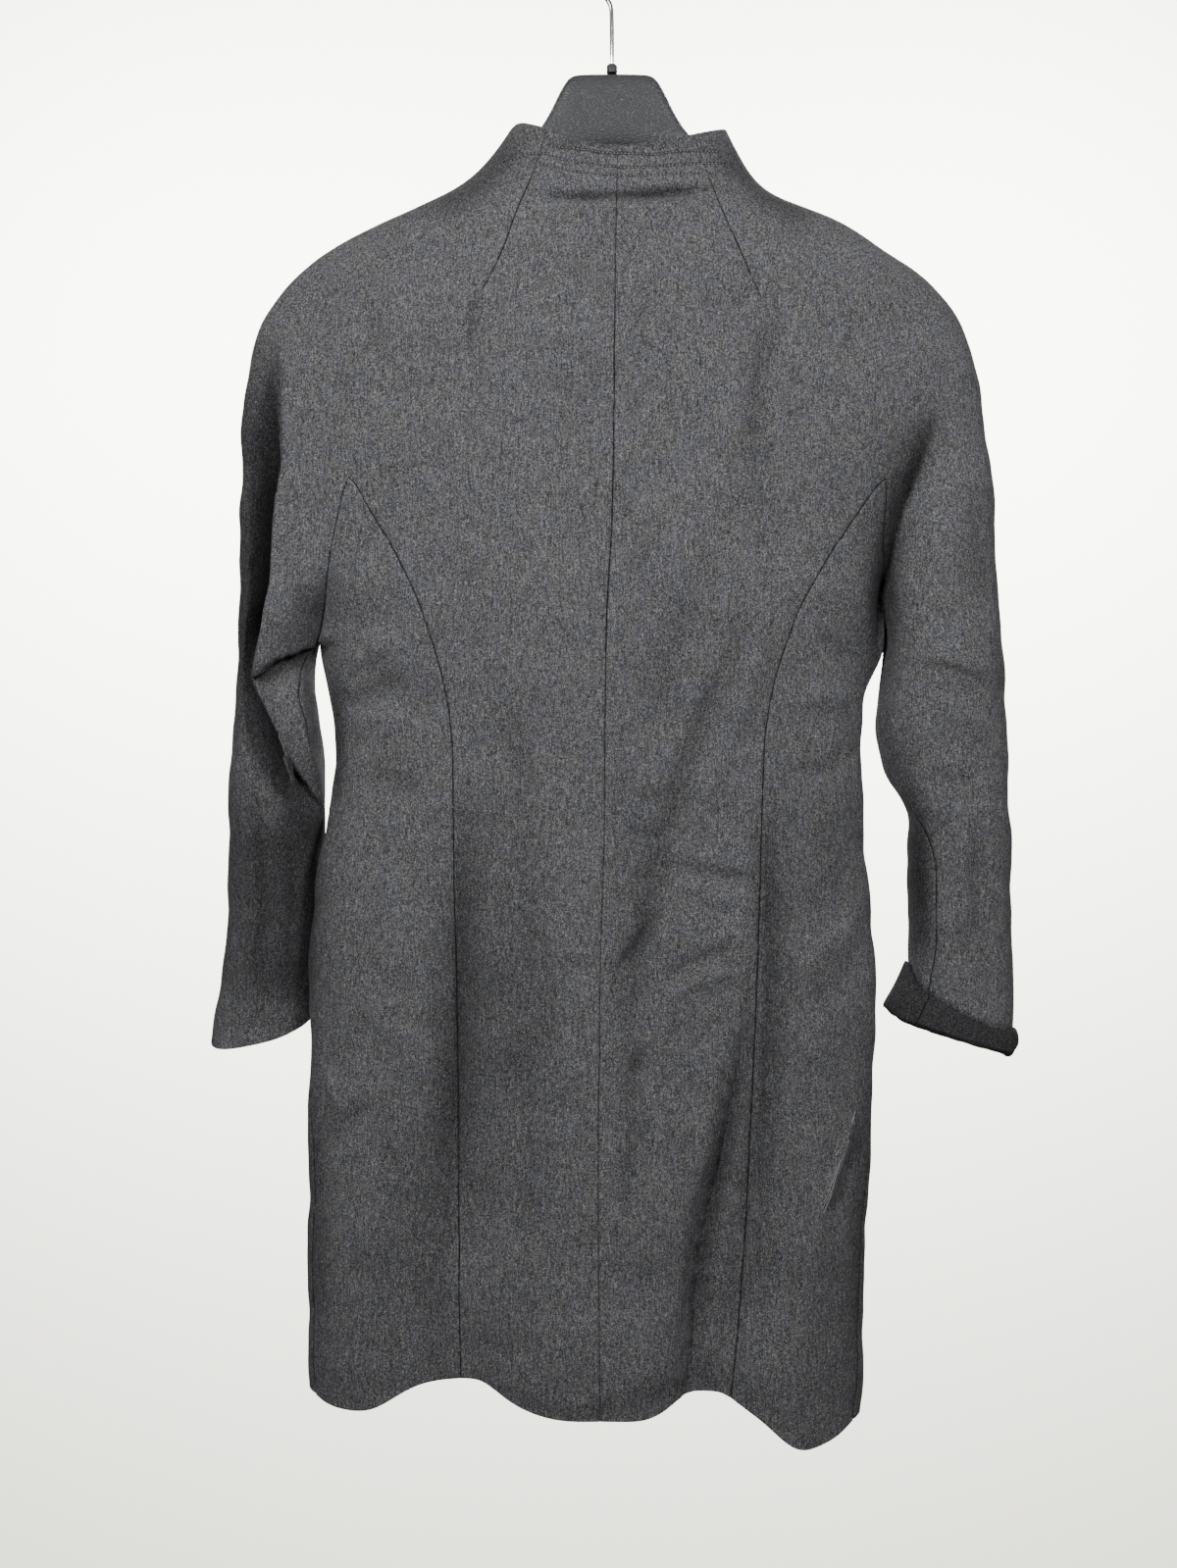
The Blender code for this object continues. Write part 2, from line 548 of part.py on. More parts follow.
def front_skirt_point(side, row, column):
    def point_at(z):
        left, right = BODY.at("left", z), BODY.at("right", z)
        seam = side_seam_angle(side, z)
        out = -1 if side == "left" else 1
        centre = CENTRE.at("x", z)
        if column < 2:
            x = (centre - out * LAP, centre + out * (LAP + 2.0))[column]
            angle = -section_angle(x, left, right)
        else:
            start = -section_angle(centre + out * (LAP + 2.0), left, right)
            seam, edge = (seam, 0.0) if side == "right" else (seam - 2 * math.pi, -math.pi)
            turn = abs(seam - edge)
            last = edge - out * max(0.0, math.radians(16) - 1.25 * turn)
            angle = seam if column == FRONT_COLUMNS else mix(start, last, (column - 1) / (FRONT_COLUMNS - 2))
        return body_point(angle, z)
    face = "back" if column == FRONT_COLUMNS else "front"
    point = settle_on_hem(face, point_at, row)
    point.y -= lap_sink(side, column)
    return point


def front_grids(side):
    """Front panel cut in one with the front half of its sleeve."""
    levels = overarm_levels(side)
    body, sleeve = [], []
    dart_top = NECK.at("front", FRONT_SIDE.at(side, FRONT_SIDE_TOP_Z))
    side_levels = [mix(dart_top, APEX_Z, r / YOKE_ROWS) for r in range(YOKE_ROWS + 1)] + armhole_levels()[1:]
    for row, z in enumerate(side_levels):
        share = row / (len(side_levels) - 1)
        body.append(front_yoke_row(side, share, z, FRONT_SIDE.at(side, z)))
        if row < len(side_levels) - 1:
            sleeve.append(sleeve_yoke_row("front", side, body[-1][-1],
                                          overarm_point(side, levels[row]), row))
    for row in range(1, SKIRT_ROWS + 1):
        body.append([front_skirt_point(side, row, c) for c in range(FRONT_COLUMNS + 1)])
    for row in range(ARM_ROWS + 1):
        sleeve.append(sleeve_arm_row("front", side, row, levels[YOKE_ROWS + ARMHOLE_ROWS + row]))
    return [body, sleeve]


def cuff_grids():
    """Turned-back right cuff: from its free upper edge down to the fold and in under it."""
    rows = []
    for level in range(4):
        left, right = CUFF_SECTIONS.at("left", level), CUFF_SECTIONS.at("right", level)
        middle, depth = CUFF_SECTIONS.at("middle", level), CUFF_SECTIONS.at("depth", level)
        row = []
        for column in range(CUFF_COLUMNS + 1):
            x, y = section_point(2 * math.pi * column / CUFF_COLUMNS, left, right, depth, depth)
            top, bottom = CUFF_EDGE.at("top", x), CUFF_EDGE.at("bottom", x)
            z = mix(top, bottom, min(level, 2) / 2) + (CLOTH if level == 3 else 0.0)
            row.append(Vector((x, middle + y, z)))
        row[-1] = row[0].copy()
        rows.append(row)
    return [rows]


# ---------------------------------------------------------------- walls of cloth

class Sheet:
    """Outer face of one piece: the points of its grids, joined where grids share them."""

    def __init__(self, grids):
        self.points, self.faces, self.index = [], [], {}
        for grid in grids:
            numbers = [[self.add(point) for point in row] for row in grid]
            for upper, lower in zip(numbers, numbers[1:]):
                for column in range(len(upper) - 1):
                    quad = (upper[column], upper[column + 1], lower[column + 1], lower[column])
                    if len(set(quad)) == 4:
                        self.faces.append(quad)

    def add(self, point):
        key = place(point)
        if key not in self.index:
            self.index[key] = len(self.points)
            self.points.append(point.copy())
        return self.index[key]

    def face_normal(self, face):
        a, b, c, d = (self.points[i] for i in face)
        return (c - a).cross(d - b)

    def turn_outward(self, outside):
        """Turn all faces so that the piece's mean normal points to the outside."""
        total = sum((self.face_normal(face) for face in self.faces), Vector())
        if total.dot(outside) < 0:
            self.faces = [face[::-1] for face in self.faces]

    def border_edges(self):
        """Edges of one face only, in that face's direction."""
        seen = {}
        for face in self.faces:
            for a, b in zip(face, face[1:] + face[:1]):
                seen[(a, b)] = face
        return {edge: face for edge, face in seen.items() if edge[::-1] not in seen}


def place(point):
    return tuple(round(value, 3) for value in point)


def shared_normals(sheets):
    """One normal for each place, the same for every piece that meets there."""
    normals = {}
    for sheet in sheets:
        for face in sheet.faces:
            normal = sheet.face_normal(face).normalized()
            for i in face:
                key = place(sheet.points[i])
                normals[key] = normals.get(key, Vector()) + normal
    for key in normals:
        normals[key].normalize()
    return normals


def armpit_normals(name, sheet, normals):
    """The normals with this piece's own direction at the armpits, where sleeve and body face each other.

    A front has both on one sheet, and the left underarm seam is twisted, so these two go straight up.
    """
    own = dict(normals)
    for side in ("left", "right"):
        armpit = place(underarm_point(side, 0))
        around = [face for face in sheet.faces if any(place(sheet.points[i]) == armpit for i in face)]
        total = sum((sheet.face_normal(face).normalized() for face in around), Vector())
        if name.startswith("front"):
            own[armpit] = Vector((0, 0, -2))
        elif name == "back_left":
            own[armpit] = Vector((0, 0, -1))
        elif around:
            own[armpit] = (total.normalized() + Vector((0, 0, -1))).normalized()
    return own


def seam_allowance(sheet, normals):
    """Move of each border point into its own piece, half a seam gap from every border edge."""
    inward = {}
    for (a, b), face in sheet.border_edges().items():
        centre = sum((sheet.points[i] for i in face), Vector()) / 4
        for i in (a, b):
            along = (sheet.points[b] - sheet.points[a]).normalized()
            outward = normals[place(sheet.points[i])].normalized()
            across = sheet.face_normal(face).cross(along).normalized()
            across = (across - outward * across.dot(outward)).normalized()
            if across.dot(centre - sheet.points[i]) < 0:
                across.negate()
            inward.setdefault(i, []).append(across)
    armpits = [place(underarm_point(side, 0)) for side in ("left", "right")]
    moves = {}
    for i, directions in inward.items():
        first, last = directions[0], directions[-1]
        gap = ARMPIT_GAP if place(sheet.points[i]) in armpits else SEAM_GAP
        moves[i] = (first + last) * (gap / 2) / max(1 + first.dot(last), 0.25)
    return moves


def split(quad, points):
    """Two triangles of a quad, parted along its longer diagonal."""
    a, b, c, d = quad
    if (points[a] - points[c]).length > (points[b] - points[d]).length:
        return [(a, b, c), (a, c, d)]
    return [(a, b, d), (b, c, d)]


def cloth_wall(name, sheet, normals, material):
    """Closed wall: the sheet, the same sheet one cloth further in, and a rim between them."""
    normals = armpit_normals(name, sheet, normals)
    moves = seam_allowance(sheet, normals)
    outer, inner = [], []
    for i, point in enumerate(sheet.points):
        moved = point + moves.get(i, Vector())
        outer.append(moved)
        inner.append(moved - normals[place(point)] * CLOTH)
    count = len(outer)
    faces = [triangle for face in sheet.faces for triangle in split(face, outer)]
    faces += [tuple(i + count for i in triangle[::-1]) for triangle in faces]
    for a, b in sheet.border_edges():
        if (outer[a].z, outer[a].x) > (outer[b].z, outer[b].x):
            faces += [(b, a, b + count), (a, a + count, b + count)]
        else:
            faces += [(b, a, a + count), (b, a + count, b + count)]
    return add_piece(name, outer + inner, faces, material)


# ---------------------------------------------------------------- meshes

def add_piece(name, points, faces, material):
    mesh = bpy.data.meshes.new(name)
    mesh.from_pydata([tuple(point * MM) for point in points], [], faces)
    shape = bmesh.new()
    shape.from_mesh(mesh)
    bmesh.ops.triangulate(shape, faces=shape.faces[:], quad_method="LONG_EDGE")
    bmesh.ops.recalc_face_normals(shape, faces=shape.faces[:])
    shape.to_mesh(mesh)
    shape.free()
    mesh.shade_smooth()
    mesh.set_sharp_from_angle(angle=math.radians(50))
    mesh.materials.append(material)
    piece = bpy.data.objects.new(name, mesh)
    bpy.context.scene.collection.objects.link(piece)
    return piece


def closed_tube(rings):
    """Points and faces of rings joined in order, closed with a fan over each end."""
    sides = len(rings[0])
    points = [point for ring in rings for point in ring]
    faces = []
    for ring in range(len(rings) - 1):
        for side in range(sides):
            after = (side + 1) % sides
            faces.append((ring * sides + side, ring * sides + after,
                          (ring + 1) * sides + after, (ring + 1) * sides + side))
    for ring in (0, len(rings) - 1):
        centre = len(points)
        points.append(sum(rings[ring], Vector()) / sides)
        faces += [(ring * sides + side, ring * sides + (side + 1) % sides, centre) for side in range(sides)]
    return points, faces


def hanger_piece(material):
    """Contoured hanger: rounded upright sections along both arms."""
    stations = [row[0] for row in HANGER.rows]
    rings = []
    for x in [-x for x in reversed(stations[1:])] + stations:
        top, bottom = HANGER.at("top", abs(x)), HANGER.at("bottom", abs(x))
        half, sweep = HANGER.at("half", abs(x)), HANGER.at("sweep", abs(x))
        ring = []
        for side in range(HANGER_SIDES):
            angle = 2 * math.pi * side / HANGER_SIDES
            y = sweep + half * signed_power(math.cos(angle), 2 / HANGER_SQUARENESS)
            z = mix(bottom, top, 0.5 + 0.5 * signed_power(math.sin(angle), 2 / HANGER_SQUARENESS))
            ring.append(Vector((x, y, z)))
        rings.append(ring)
    return add_piece("hanger", *closed_tube(rings), material)


def hook_path():
    """Centre line of the hook: stem, a sweep to the left, and the arc over the origin to its tip."""
    radius = HOOK_RADIUS + WIRE_RADIUS
    path = [Vector((0, 0, HANGER.at("top", 0) + SEAM_GAP)), Vector((0, 0, -76)), Vector((0, 0, STEM_TOP_Z))]
    start = Vector((-radius, 0, -HOOK_RADIUS))
    for step in range(1, 8):
        t = step / 8
        x = mix(0.0, start.x, smooth(t))
        z = mix(STEM_TOP_Z, start.z, t ** 0.95)
        path.append(Vector((x, 0, z)))
    turns = 20
    for step in range(turns + 1):
        angle = math.radians(mix(180.0, HOOK_TIP_ANGLE, step / turns))
        path.append(Vector((radius * math.cos(angle), 0, -HOOK_RADIUS + radius * math.sin(angle))))
    return path


def hook_piece(material):
    path = hook_path()
    rings = []
    for i, centre in enumerate(path):
        tangent = (path[min(i + 1, len(path) - 1)] - path[max(i - 1, 0)]).normalized()
        across = tangent.cross(Vector((0, 1, 0))).normalized()
        turns = [2 * math.pi * side / WIRE_SIDES for side in range(WIRE_SIDES)]
        rings.append([centre + WIRE_RADIUS * (across * math.cos(turn) + Vector((0, math.sin(turn), 0)))
                      for turn in turns])
    return add_piece("hanger_hook", *closed_tube(rings), material)


def boss_piece(material):
    """Ring at the foot of the hook's stem."""
    seat = HANGER.at("top", 0) + SEAM_GAP
    profile = [(WIRE_RADIUS + SEAM_GAP, 0), (BOSS_RADIUS, 0), (BOSS_RADIUS, BOSS_HEIGHT - 1.2),
               (BOSS_RADIUS - 1.0, BOSS_HEIGHT), (WIRE_RADIUS + SEAM_GAP, BOSS_HEIGHT)]
    points, faces = [], []
    for side in range(BOSS_SIDES):
        angle = 2 * math.pi * side / BOSS_SIDES
        points += [Vector((r * math.cos(angle), r * math.sin(angle), seat + h)) for r, h in profile]
    for side in range(BOSS_SIDES):
        here, after = side * len(profile), (side + 1) % BOSS_SIDES * len(profile)
        for k in range(len(profile)):
            up = (k + 1) % len(profile)
            faces.append((here + k, here + up, after + up, after + k))
    return add_piece("hanger_boss", points, faces, material)


def button_pieces(material):
    """Buttons down the centre front, lying on the right front."""
    profile = ((BUTTON_RADIUS - 0.9, 0.0), (BUTTON_RADIUS, 0.9), (BUTTON_RADIUS, BUTTON_THICK - 1.0),
               (BUTTON_RADIUS - 1.0, BUTTON_THICK))
    for number in range(BUTTONS):
        z = BUTTON_TOP_Z - number * BUTTON_PITCH
        x = CENTRE.at("x", z)
        seat, below = front_surface(x, z), front_surface(x, z - 20)
        down = (below - seat).normalized()
        outward = down.cross(Vector((1, 0, 0))).normalized()
        if outward.y < 0:
            outward.negate()
        start = seat + outward * BUTTON_SEAT
        across = outward.cross(down).normalized()
        turns = [2 * math.pi * s / BUTTON_SIDES for s in range(BUTTON_SIDES)]
        rings = [[start + outward * height + radius * (across * math.cos(turn) + down * math.sin(turn))
                  for turn in turns] for radius, height in profile]
        add_piece("button_%d" % (number + 1), *closed_tube(rings), material)


def front_surface(x, z):
    if z > ARMPIT_Z:
        return yoke_point("front", x, z)
    return body_point(-section_angle(x, BODY.at("left", z), BODY.at("right", z)), z)


def finish(name, colour, roughness, metallic=0.0):
    material = bpy.data.materials.new(name)
    material.use_nodes = True
    shader = material.node_tree.nodes["Principled BSDF"]
    shader.inputs["Base Color"].default_value = (*colour, 1.0)
    shader.inputs["Roughness"].default_value = roughness
    shader.inputs["Metallic"].default_value = metallic
    return material


def build():
    for existing in list(bpy.data.objects):
        bpy.data.objects.remove(existing)
    wool = finish("charcoal_wool", (0.115, 0.115, 0.121), 0.95)
    horn = finish("dark_button", (0.012, 0.012, 0.014), 0.35)
    plastic = finish("black_plastic", (0.03, 0.03, 0.032), 0.5)
    chrome = finish("chrome", (0.78, 0.78, 0.8), 0.15, 1.0)

    sheets = {}
    for side in ("left", "right"):
        sheets["back_" + side] = Sheet(back_grids(side))
        sheets["side_back_" + side] = Sheet(side_back_grids(side))
        sheets["front_" + side] = Sheet(front_grids(side))
    for name, sheet in sheets.items():
        sheet.turn_outward(Vector((0, 1, 0)) if name.startswith("front") else Vector((0, -1, 0)))
    normals = shared_normals(sheets.values())
    for name, sheet in sheets.items():
        cloth_wall(name, sheet, normals, wool)

    cuff = Sheet(cuff_grids())
    cloth_wall("turned_cuff_right", cuff, shared_normals([cuff]), wool)
    button_pieces(horn)
    hanger_piece(plastic)
    boss_piece(plastic)
    hook_piece(chrome)


build()
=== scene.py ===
"""Looks of a charcoal wool coat dress on a suit hanger, seen from its back.

The cloth pieces start from the outer faces of their solids. They are joined at their seams, rounded,
creased, parted again along the seams and given their thickness. Everything is in metres.
"""
import json
import math

import bmesh
import bpy
import numpy as np
from bpy.props import FloatProperty, FloatVectorProperty, IntProperty, PointerProperty
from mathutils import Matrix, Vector
from mathutils.bvhtree import BVHTree
from mathutils.geometry import tessellate_polygon
from mathutils.kdtree import KDTree

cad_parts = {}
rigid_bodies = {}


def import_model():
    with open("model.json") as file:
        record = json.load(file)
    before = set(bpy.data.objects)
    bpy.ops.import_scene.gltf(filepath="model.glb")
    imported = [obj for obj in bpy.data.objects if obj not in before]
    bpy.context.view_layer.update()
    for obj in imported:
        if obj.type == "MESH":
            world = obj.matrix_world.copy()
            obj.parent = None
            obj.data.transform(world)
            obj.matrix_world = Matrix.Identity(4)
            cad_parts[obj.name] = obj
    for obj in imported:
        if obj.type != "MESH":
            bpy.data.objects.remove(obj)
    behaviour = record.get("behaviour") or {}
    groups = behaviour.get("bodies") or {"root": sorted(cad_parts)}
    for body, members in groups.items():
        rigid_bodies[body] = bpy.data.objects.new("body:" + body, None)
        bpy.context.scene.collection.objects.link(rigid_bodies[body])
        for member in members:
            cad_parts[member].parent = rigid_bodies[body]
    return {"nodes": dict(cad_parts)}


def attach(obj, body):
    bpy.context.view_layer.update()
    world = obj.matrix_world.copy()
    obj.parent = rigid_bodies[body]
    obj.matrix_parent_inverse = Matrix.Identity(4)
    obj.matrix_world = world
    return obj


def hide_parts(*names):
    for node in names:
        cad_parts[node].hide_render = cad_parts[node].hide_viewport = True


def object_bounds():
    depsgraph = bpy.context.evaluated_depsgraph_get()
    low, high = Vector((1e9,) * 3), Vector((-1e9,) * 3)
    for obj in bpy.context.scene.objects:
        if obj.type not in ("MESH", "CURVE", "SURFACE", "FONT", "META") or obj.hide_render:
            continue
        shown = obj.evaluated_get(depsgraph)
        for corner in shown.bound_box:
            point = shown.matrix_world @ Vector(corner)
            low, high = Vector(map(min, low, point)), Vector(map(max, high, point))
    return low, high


bl_info = {
    "name": "Coat Dress on a Hanger",
    "version": (1, 0, 0),
    "blender": (4, 5, 0),
    "location": "3D View > Sidebar > Coat Dress",
    "description": "Makes a wool coat dress hanging on a suit hanger, with its stage",
    "category": "Object",
}

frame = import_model()
CAD_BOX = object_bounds()
CLOTH = 0.0016           # thickness of the coating
STRIP = 0.0011           # breadth of the strip along a panel's border
MM = 0.001
SAME = 1e-6              # points nearer than this are one point
WELD = 0.00125           # panels' borders nearer than this are sewn to each other
ARMPIT = (0.19, -0.4225)     # the side backs' points lie beyond this x, at this height
NECK_EDGE_Z = -0.17      # above this the coarse mesh isn't fitted
NECK_CORNER_Z = -0.146   # above this the neck's corners are pressed soft
FIT_ROUNDS = 3           # times that the coarse mesh is corrected
BUTTON_CALM = 0.016      # no creases nearer than this to a button's middle
HIDDEN_SLEEVE = 0.008    # how far the right sleeve goes on down behind its turned cuff
TURN_DEPTH, TURN_HEIGHT = 0.011, 0.006     # how far the cuff's lower edge turns in, over what height
STITCH_LENGTH, STITCH_STEP, STITCH_RADIUS = 1.9, 2.75, 0.36     # millimetres

PANELS = {"back_left": -1, "back_right": -1, "side_back_left": -1, "side_back_right": -1,
          "front_left": 1, "front_right": 1}      # the side each faces, as the sign of y
NAMES = list(PANELS)
FIRST_FRONT = 4          # the panels from this number on are fronts

# The camera, level with the garment's middle.
CAMERA = (-0.0182, -1.4, -0.6506)
SENSOR = 36.0                    # millimetres
VIEW_HEIGHT = 0.76e-3 * 1599     # height of what it sees at the origin's depth, in metres

# Long neck darts, from the neck edge to where they run out, in millimetres: x, z.
DARTS = {"left": ((-51, -153), (-57.4, -182), (-72.4, -222), (-83.3, -254), (-103, -293)),
         "right": ((60, -153), (69.5, -182), (83, -222), (96, -254), (113.2, -293))}
DART_END_Z = -0.292

# Creases of the back, in millimetres. "depth" is how far a trough goes in, or a ridge comes out when
# it is negative, and "width" is half its breadth; then come the points it runs through, as x, z.
# Each trough is also darkened by painted shade, the more the deeper it is.
BACK_FOLDS = (
    # depth, width, points
    (1.7, 4.0, ((-58, -209), (-30, -210), (-6, -212))),
    (1.9, 4.0, ((8, -212), (30, -210), (74, -204))),
    (-0.9, 6.0, ((-52, -217), (10, -222), (70, -214))),
    (0.9, 5.0, ((-104, -288), (-105, -300), (-104, -322))),
    (-0.8, 10.0, ((-122, -290), (-118, -330))),
    (1.2, 8.0, ((124, -286), (114, -330), (106, -380), (108, -430), (112, -470))),
    (-0.9, 10.0, ((150, -300), (132, -345), (124, -390), (126, -440))),
    (0.9, 10.0, ((99, -430), (80, -465), (60, -500))),
    (-0.8, 6.0, ((48, -430), (30, -450), (18, -446))),
    (-0.9, 5.0, ((18, -512), (8, -528), (0, -545))),
    (0.8, 7.0, ((30, -470), (14, -500))),
    (2.2, 9.0, ((106, -505), (92, -548), (73, -592), (55, -636), (40, -688), (29, -746), (11, -786),
                (4, -835))),
    (-1.2, 10.0, ((120, -520), (106, -565), (88, -615), (70, -660), (56, -700))),
    (1.0, 12.0, ((70, -500), (50, -540), (36, -590), (30, -640))),
    (1.1, 10.0, ((-96, -560), (-74, -620), (-62, -690), (-66, -760))),
    (-0.9, 12.0, ((-60, -420), (-52, -500), (-58, -580))),
    (1.3, 4.0, ((11, -687), (24, -690), (36, -688))),
    (1.1, 4.0, ((18, -668), (32, -662), (42, -660))),
    (1.2, 4.0, ((11, -717), (22, -722), (35, -721))),
    (1.3, 5.0, ((42, -708), (70, -718), (98, -722), (112, -728))),
    (-0.9, 5.0, ((46, -722), (76, -736), (104, -740))),
    (1.0, 5.0, ((12, -742), (30, -750), (44, -744))),
    (1.5, 5.0, ((30, -750), (18, -772), (4, -790))),
    (-1.2, 5.0, ((37, -812), (64, -796), (99, -787))),
    (1.4, 5.0, ((34, -798), (62, -784), (96, -772))),
    (-1.0, 5.0, ((14, -838), (8, -862), (4, -884))),
    (1.1, 6.0, ((24, -840), (18, -872), (14, -900))),
    (1.5, 7.0, ((22, -885), (15, -930), (10, -985))),
    (1.7, 9.0, ((110, -672), (113, -722), (110, -790))),
    (3.4, 9.0, ((106, -796), (88, -870), (80, -930), (66, -995), (58, -1070), (54, -1110))),
    (-1.6, 9.0, ((96, -830), (76, -905), (62, -960))),
    (1.8, 8.0, ((108, -806), (103, -944), (94, -1020), (88, -1095))),
    (2.2, 11.0, ((-118, -678), (-118, -762), (-118, -834), (-121, -893), (-123, -966))),
    (-1.4, 14.0, ((-90, -700), (-88, -800), (-92, -900))),
    (1.2, 12.0, ((-152, -908), (-148, -1018), (-144, -1085))),
    (-1.5, 3.5, ((186, -898), (172, -930), (156, -982))),
    (1.2, 6.0, ((190, -915), (180, -945), (170, -985))),
    (-1.0, 4.0, ((-218, -872), (-205, -900))),
    (1.2, 7.0, ((-222, -930), (-200, -905), (-180, -890))),
    (1.5, 7.0, ((-212, -577), (-200, -590), (-172, -578), (-150, -570))),
    (-1.3, 8.0, ((-205, -560), (-180, -552), (-158, -540))),
    (-1.2, 8.0, ((-205, -608), (-178, -600), (-150, -604))),
    (1.1, 9.0, ((-190, -640), (-160, -655), (-135, -650))),
    (0.9, 9.0, ((-195, -770), (-170, -800), (-130, -812))),
    (-0.9, 9.0, ((-200, -800), (-172, -835), (-135, -850))),
    (1.4, 8.0, ((186, -560), (168, -548), (150, -540))),
    (-1.2, 8.0, ((184, -590), (160, -582), (140, -590))),
    (1.1, 8.0, ((190, -620), (165, -640), (130, -640))),
    (-1.0, 8.0, ((196, -735), (170, -770), (135, -790))),
    (0.9, 9.0, ((196, -765), (176, -800), (140, -820))),
    (0.9, 9.0, ((-60, -720), (-48, -800), (-52, -880))),
    (-0.8, 12.0, ((-30, -760), (-34, -850), (-28, -960))),
    (0.8, 9.0, ((-70, -840), (-60, -930), (-66, -1010))),
    (-0.9, 10.0, ((-180, -960), (-172, -1040), (-176, -1100))),
    (-0.9, 12.0, ((150, -960), (146, -1040), (140, -1110))),
    # sleeves
    (-1.3, 7.0, ((238, -552), (262, -558), (286, -570))),
    (-1.0, 8.0, ((240, -590), (262, -600), (284, -612))),
    (1.0, 7.0, ((236, -640), (256, -650), (276, -640))),
    (-1.5, 5.5, ((266, -668), (264, -720), (268, -790))),
    (1.2, 6.0, ((276, -660), (278, -720), (282, -800))),
    (1.0, 9.0, ((272, -420), (280, -470), (278, -530))),
    (-0.9, 9.0, ((250, -440), (256, -500), (250, -540))),
    (1.1, 7.0, ((-236, -498), (-230, -520), (-222, -528))),
    (-1.2, 8.0, ((-246, -440), (-242, -490), (-240, -520))),
)

# Three rows of stitching along the back of the neck, in millimetres: x, then the height of each row.
NECK_ROWS = ((-80, -166, -179, -188), (-62, -167.5, -174, -184.5), (-49, -168, -175, -184),
             (-41, -170.5, -180, -187), (-24, -173, -184, -191.5), (-6, -176.5, -187, -193.5),
             (12, -177, -188, -194.5), (31, -177.5, -187.5, -193.8), (49, -174, -184.5, -192.2),
             (68, -172, -182.3, -190), (80, -170.5, -180.8, -188))
ROW_ENDS = ((-57, 67), (-79, 88), (-49, 80))     # where each row starts and stops, the lowest first
FRONT_ROWS = (8.5, 17.0, 25.0)     # depth of each row below the front's neck edge
FRONT_ROW_ENDS = (-66, 70)
NECK_STOPS = range(-70, 75, 5)     # where the front's neck edge is measured
NO_ROW = 9.0                       # the row number of points that lie on no row

# Light strands laid along crease ridges as painted highlights where the creases catch the light, as points x,
# z in millimetres and their half breadth.
CREASE_HIGHLIGHTS = (
    (((184, -908), (178, -925), (171, -944), (165, -960), (159, -974)), 0.26),
    (((-217, -871), (-212, -885), (-205, -900)), 0.10),
    (((-216, -951), (-208, -940), (-201, -930)), 0.10),
)
LINT_HAIRS = 46
CUFF_SEAM = ((239.8, -815.1), (232.5, -827.6))     # seam across the turned cuff: x, z

# Folds whose raised side overhangs, in millimetres: how far the raised side lifts and over what
# breadth, how far the other side drops and over what breadth, how much painted shade darkens the cloth
# under the overhang and over what breadth, then points as x, z. The raised side lies to the left of the path.
# A row without lift and drop only paints shade.
LEDGES = (
    (3.5, 15.0, 6.5, 7.0, 0.75, 7.0, ((-282, -576), (-270, -571), (-256, -558), (-238, -550), (-218, -542),
                                      (-206, -536))),
    (1.5, 10.0, 8.0, 7.0, 0.72, 26.0, ((-256, -296), (-253, -330), (-251, -372), (-255, -431), (-260, -504),
                                       (-266, -548), (-272, -590))),
    (1.5, 12.0, 6.0, 6.0, 0.80, 14.0, ((-274, -560), (-267, -580), (-256, -604), (-243, -634), (-228, -662),
                                       (-214, -678))),
    (1.5, 12.0, 4.2, 8.5, 0.90, 18.0, ((252, -350), (243, -385), (231, -417), (222, -440), (214, -472),
                                       (208, -505), (204, -540), (202, -575))),
    (1.6, 8.0, 1.8, 4.0, 0.22, 4.0, ((-48, -209), (-18, -210), (11, -209), (31, -207), (55, -204),
                                   (72, -201))),
    (1.2, 14.0, 1.8, 5.0, 0.12, 8.0, ((-4, -800), (5, -787), (16, -770), (28, -753), (38, -742))),
    (1.2, 9.0, 2.2, 5.0, 0.15, 6.0, ((118, -786), (98, -787), (64, -796), (36, -810))),
    (1.6, 10.0, 3.6, 5.5, 0.30, 9.0, ((50, -1140), (52, -1118), (58, -1070), (64, -1010), (74, -955),
                                      (88, -885), (99, -820), (106, -770))),
    (0.0, 1.0, 0.0, 1.0, 0.38, 40.0, ((-122, -1000), (-121, -900), (-119, -800), (-117, -700), (-118, -610))),
    (0.0, 1.0, 0.0, 1.0, 0.26, 18.0, ((-119, -820), (-121, -900), (-123, -1000), (-122, -1130))),
    (0.0, 1.0, 0.0, 1.0, 0.36, 15.0, ((104, -1080), (108, -960), (111, -860), (113, -760), (114, -600))),
    (0.0, 1.0, 0.0, 1.0, 0.16, 30.0, ((-5, -880), (-4, -800), (-2, -720), (0, -600))),
    (0.8, 7.0, 1.3, 3.0, 0.25, 3.5, ((222, -558), (226, -559), (248, -561), (266, -566), (280, -574),
                                   (290, -590))),
)

